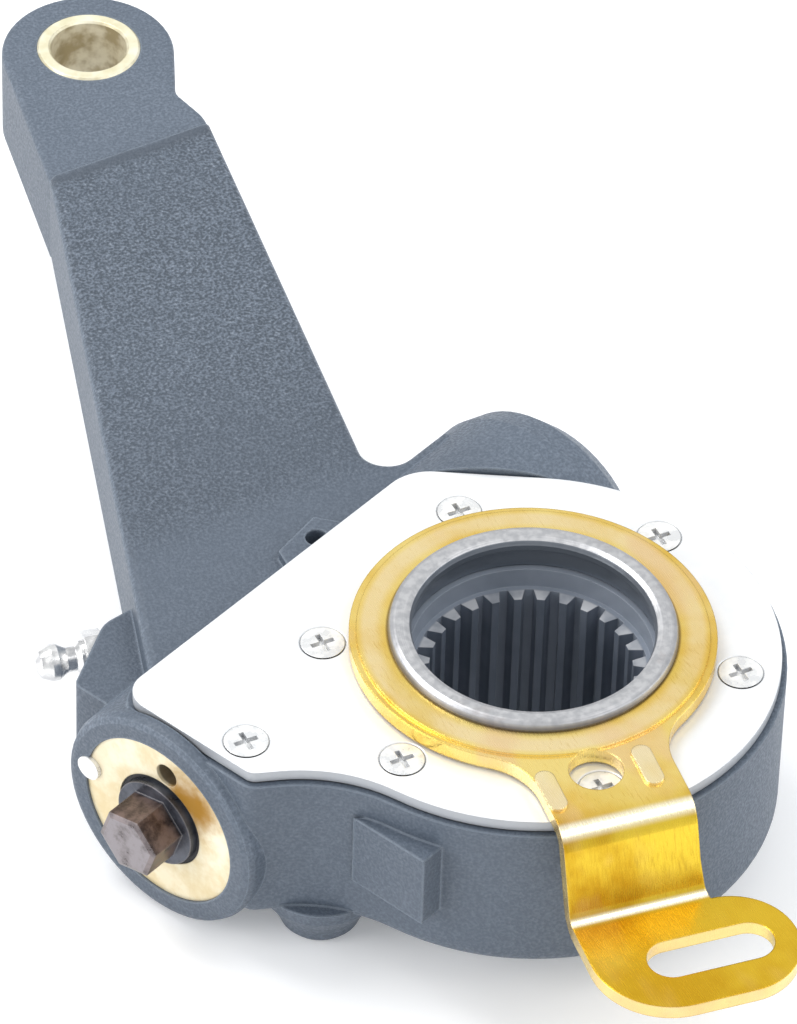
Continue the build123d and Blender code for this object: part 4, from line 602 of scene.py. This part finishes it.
FLOOR_GAP = 0.05 * MM
FLOOR_HALF = 3.0
SQUARE = ((-1, -1), (1, -1), (1, 1), (-1, 1))
FLOOR_TONES = ((0.89, 0.89, 0.895), (0.91, 0.91, 0.915))
FLOOR_GLOW = (0.96, 0.98, 1.0, 1)
FLOOR_GLOW_STRENGTH = 0.2
floor_z = cad_box[0].z - FLOOR_GAP
floor_corners = [(x * FLOOR_HALF, y * FLOOR_HALF, floor_z) for x, y in SQUARE]
floor_mesh = bpy.data.meshes.new("floor")
floor_mesh.from_pydata(floor_corners, [], [(0, 1, 2, 3)])
floor = bpy.data.objects.new("floor", floor_mesh)
bpy.context.scene.collection.objects.link(floor)
floor_finish = Finish("floor", (0.9, 0.9, 0.9), roughness=0.75)
floor_tone = floor_finish.mix(floor_finish.noise(3, detail=1), *FLOOR_TONES)
floor_finish.shader.inputs["Emission Color"].default_value = FLOOR_GLOW
floor_finish.shader.inputs["Emission Strength"].default_value = FLOOR_GLOW_STRENGTH
floor_mesh.materials.append(floor_finish.use(floor_tone))

SKY = (0.97, 0.985, 1.0, 1)
SKY_STRENGTH = 0.78
world = bpy.data.worlds.new("studio")
bpy.context.scene.world = world
world.use_nodes = True
sky = world.node_tree.nodes["Background"]
sky.inputs["Color"].default_value = SKY
sky.inputs["Strength"].default_value = SKY_STRENGTH
bpy.context.scene.view_settings.view_transform = "Standard"

LIGHTS_AIM = Vector((0, 0.05, 0.02))
WHITE = (1, 1, 1)
WARM = (1.0, 0.985, 0.97)
COOL = (0.9, 0.95, 1.0)


def softbox(name, place, size, power, color):
    """A rectangular light that looks at the part."""
    light = bpy.data.lights.new(name, "AREA")
    light.shape = "RECTANGLE"
    light.size, light.size_y = size
    light.energy = power
    light.color = color
    lamp = bpy.data.objects.new(name, light)
    lamp.location = place
    lamp.rotation_euler = (LIGHTS_AIM - Vector(place)).to_track_quat("-Z", "Y").to_euler()
    bpy.context.scene.collection.objects.link(lamp)


softbox("key_light", (-1.05, 0.1, 0.5), (0.6, 0.6), 5, WARM)
softbox("top_light", (-0.35, 0.65, 1.15), (0.7, 0.5), 7, WHITE)
softbox("bend_light", (0.42, -0.45, 1.05), (0.7, 0.3), 2.6, WHITE)
softbox("side_light", (1.0, -0.4, 0.4), (0.7, 0.5), 3, COOL)

# The camera stands where the photographer's did: found from the circles of the ring and the eye.
CAMERA_AZIMUTH = math.radians(-27.4)
CAMERA_ELEVATION = math.radians(42.65)
CAMERA_ROLL = math.radians(1.9)
CAMERA_DISTANCE = 1.3415
CAMERA_NEAR = 0.05
CAMERA_FAR = 20
SENSOR_HEIGHT = 36
FOCAL_PIXELS = 8000
IMAGE_SIZE = (797, 1024)
RING_PIXEL = (533.7, 623.6)
RING_TOP = Vector((0, 0, 47 * MM))

back = Vector(
    (
        math.sin(CAMERA_AZIMUTH) * math.cos(CAMERA_ELEVATION),
        -math.cos(CAMERA_AZIMUTH) * math.cos(CAMERA_ELEVATION),
        math.sin(CAMERA_ELEVATION),
    )
)
forward = -back
right = forward.cross(Vector((0, 0, 1))).normalized()
up = right.cross(forward)
rows = Matrix.Rotation(CAMERA_ROLL, 3, "Z") @ Matrix((right, -up, forward))
offset = Vector(
    (
        (RING_PIXEL[0] - IMAGE_SIZE[0] / 2) / FOCAL_PIXELS * CAMERA_DISTANCE,
        (RING_PIXEL[1] - IMAGE_SIZE[1] / 2) / FOCAL_PIXELS * CAMERA_DISTANCE,
        CAMERA_DISTANCE,
    )
)
camera_data = bpy.data.cameras.new("camera")
camera_data.sensor_fit = "VERTICAL"
camera_data.sensor_height = SENSOR_HEIGHT
camera_data.lens = FOCAL_PIXELS / IMAGE_SIZE[1] * SENSOR_HEIGHT
camera_data.clip_start = CAMERA_NEAR
camera_data.clip_end = CAMERA_FAR
camera = bpy.data.objects.new("camera", camera_data)
stand = Matrix((rows[0], -rows[1], -rows[2])).transposed().to_4x4()
stand.translation = RING_TOP - rows.transposed() @ offset
camera.matrix_world = stand
bpy.context.scene.collection.objects.link(camera)
bpy.context.scene.camera = camera
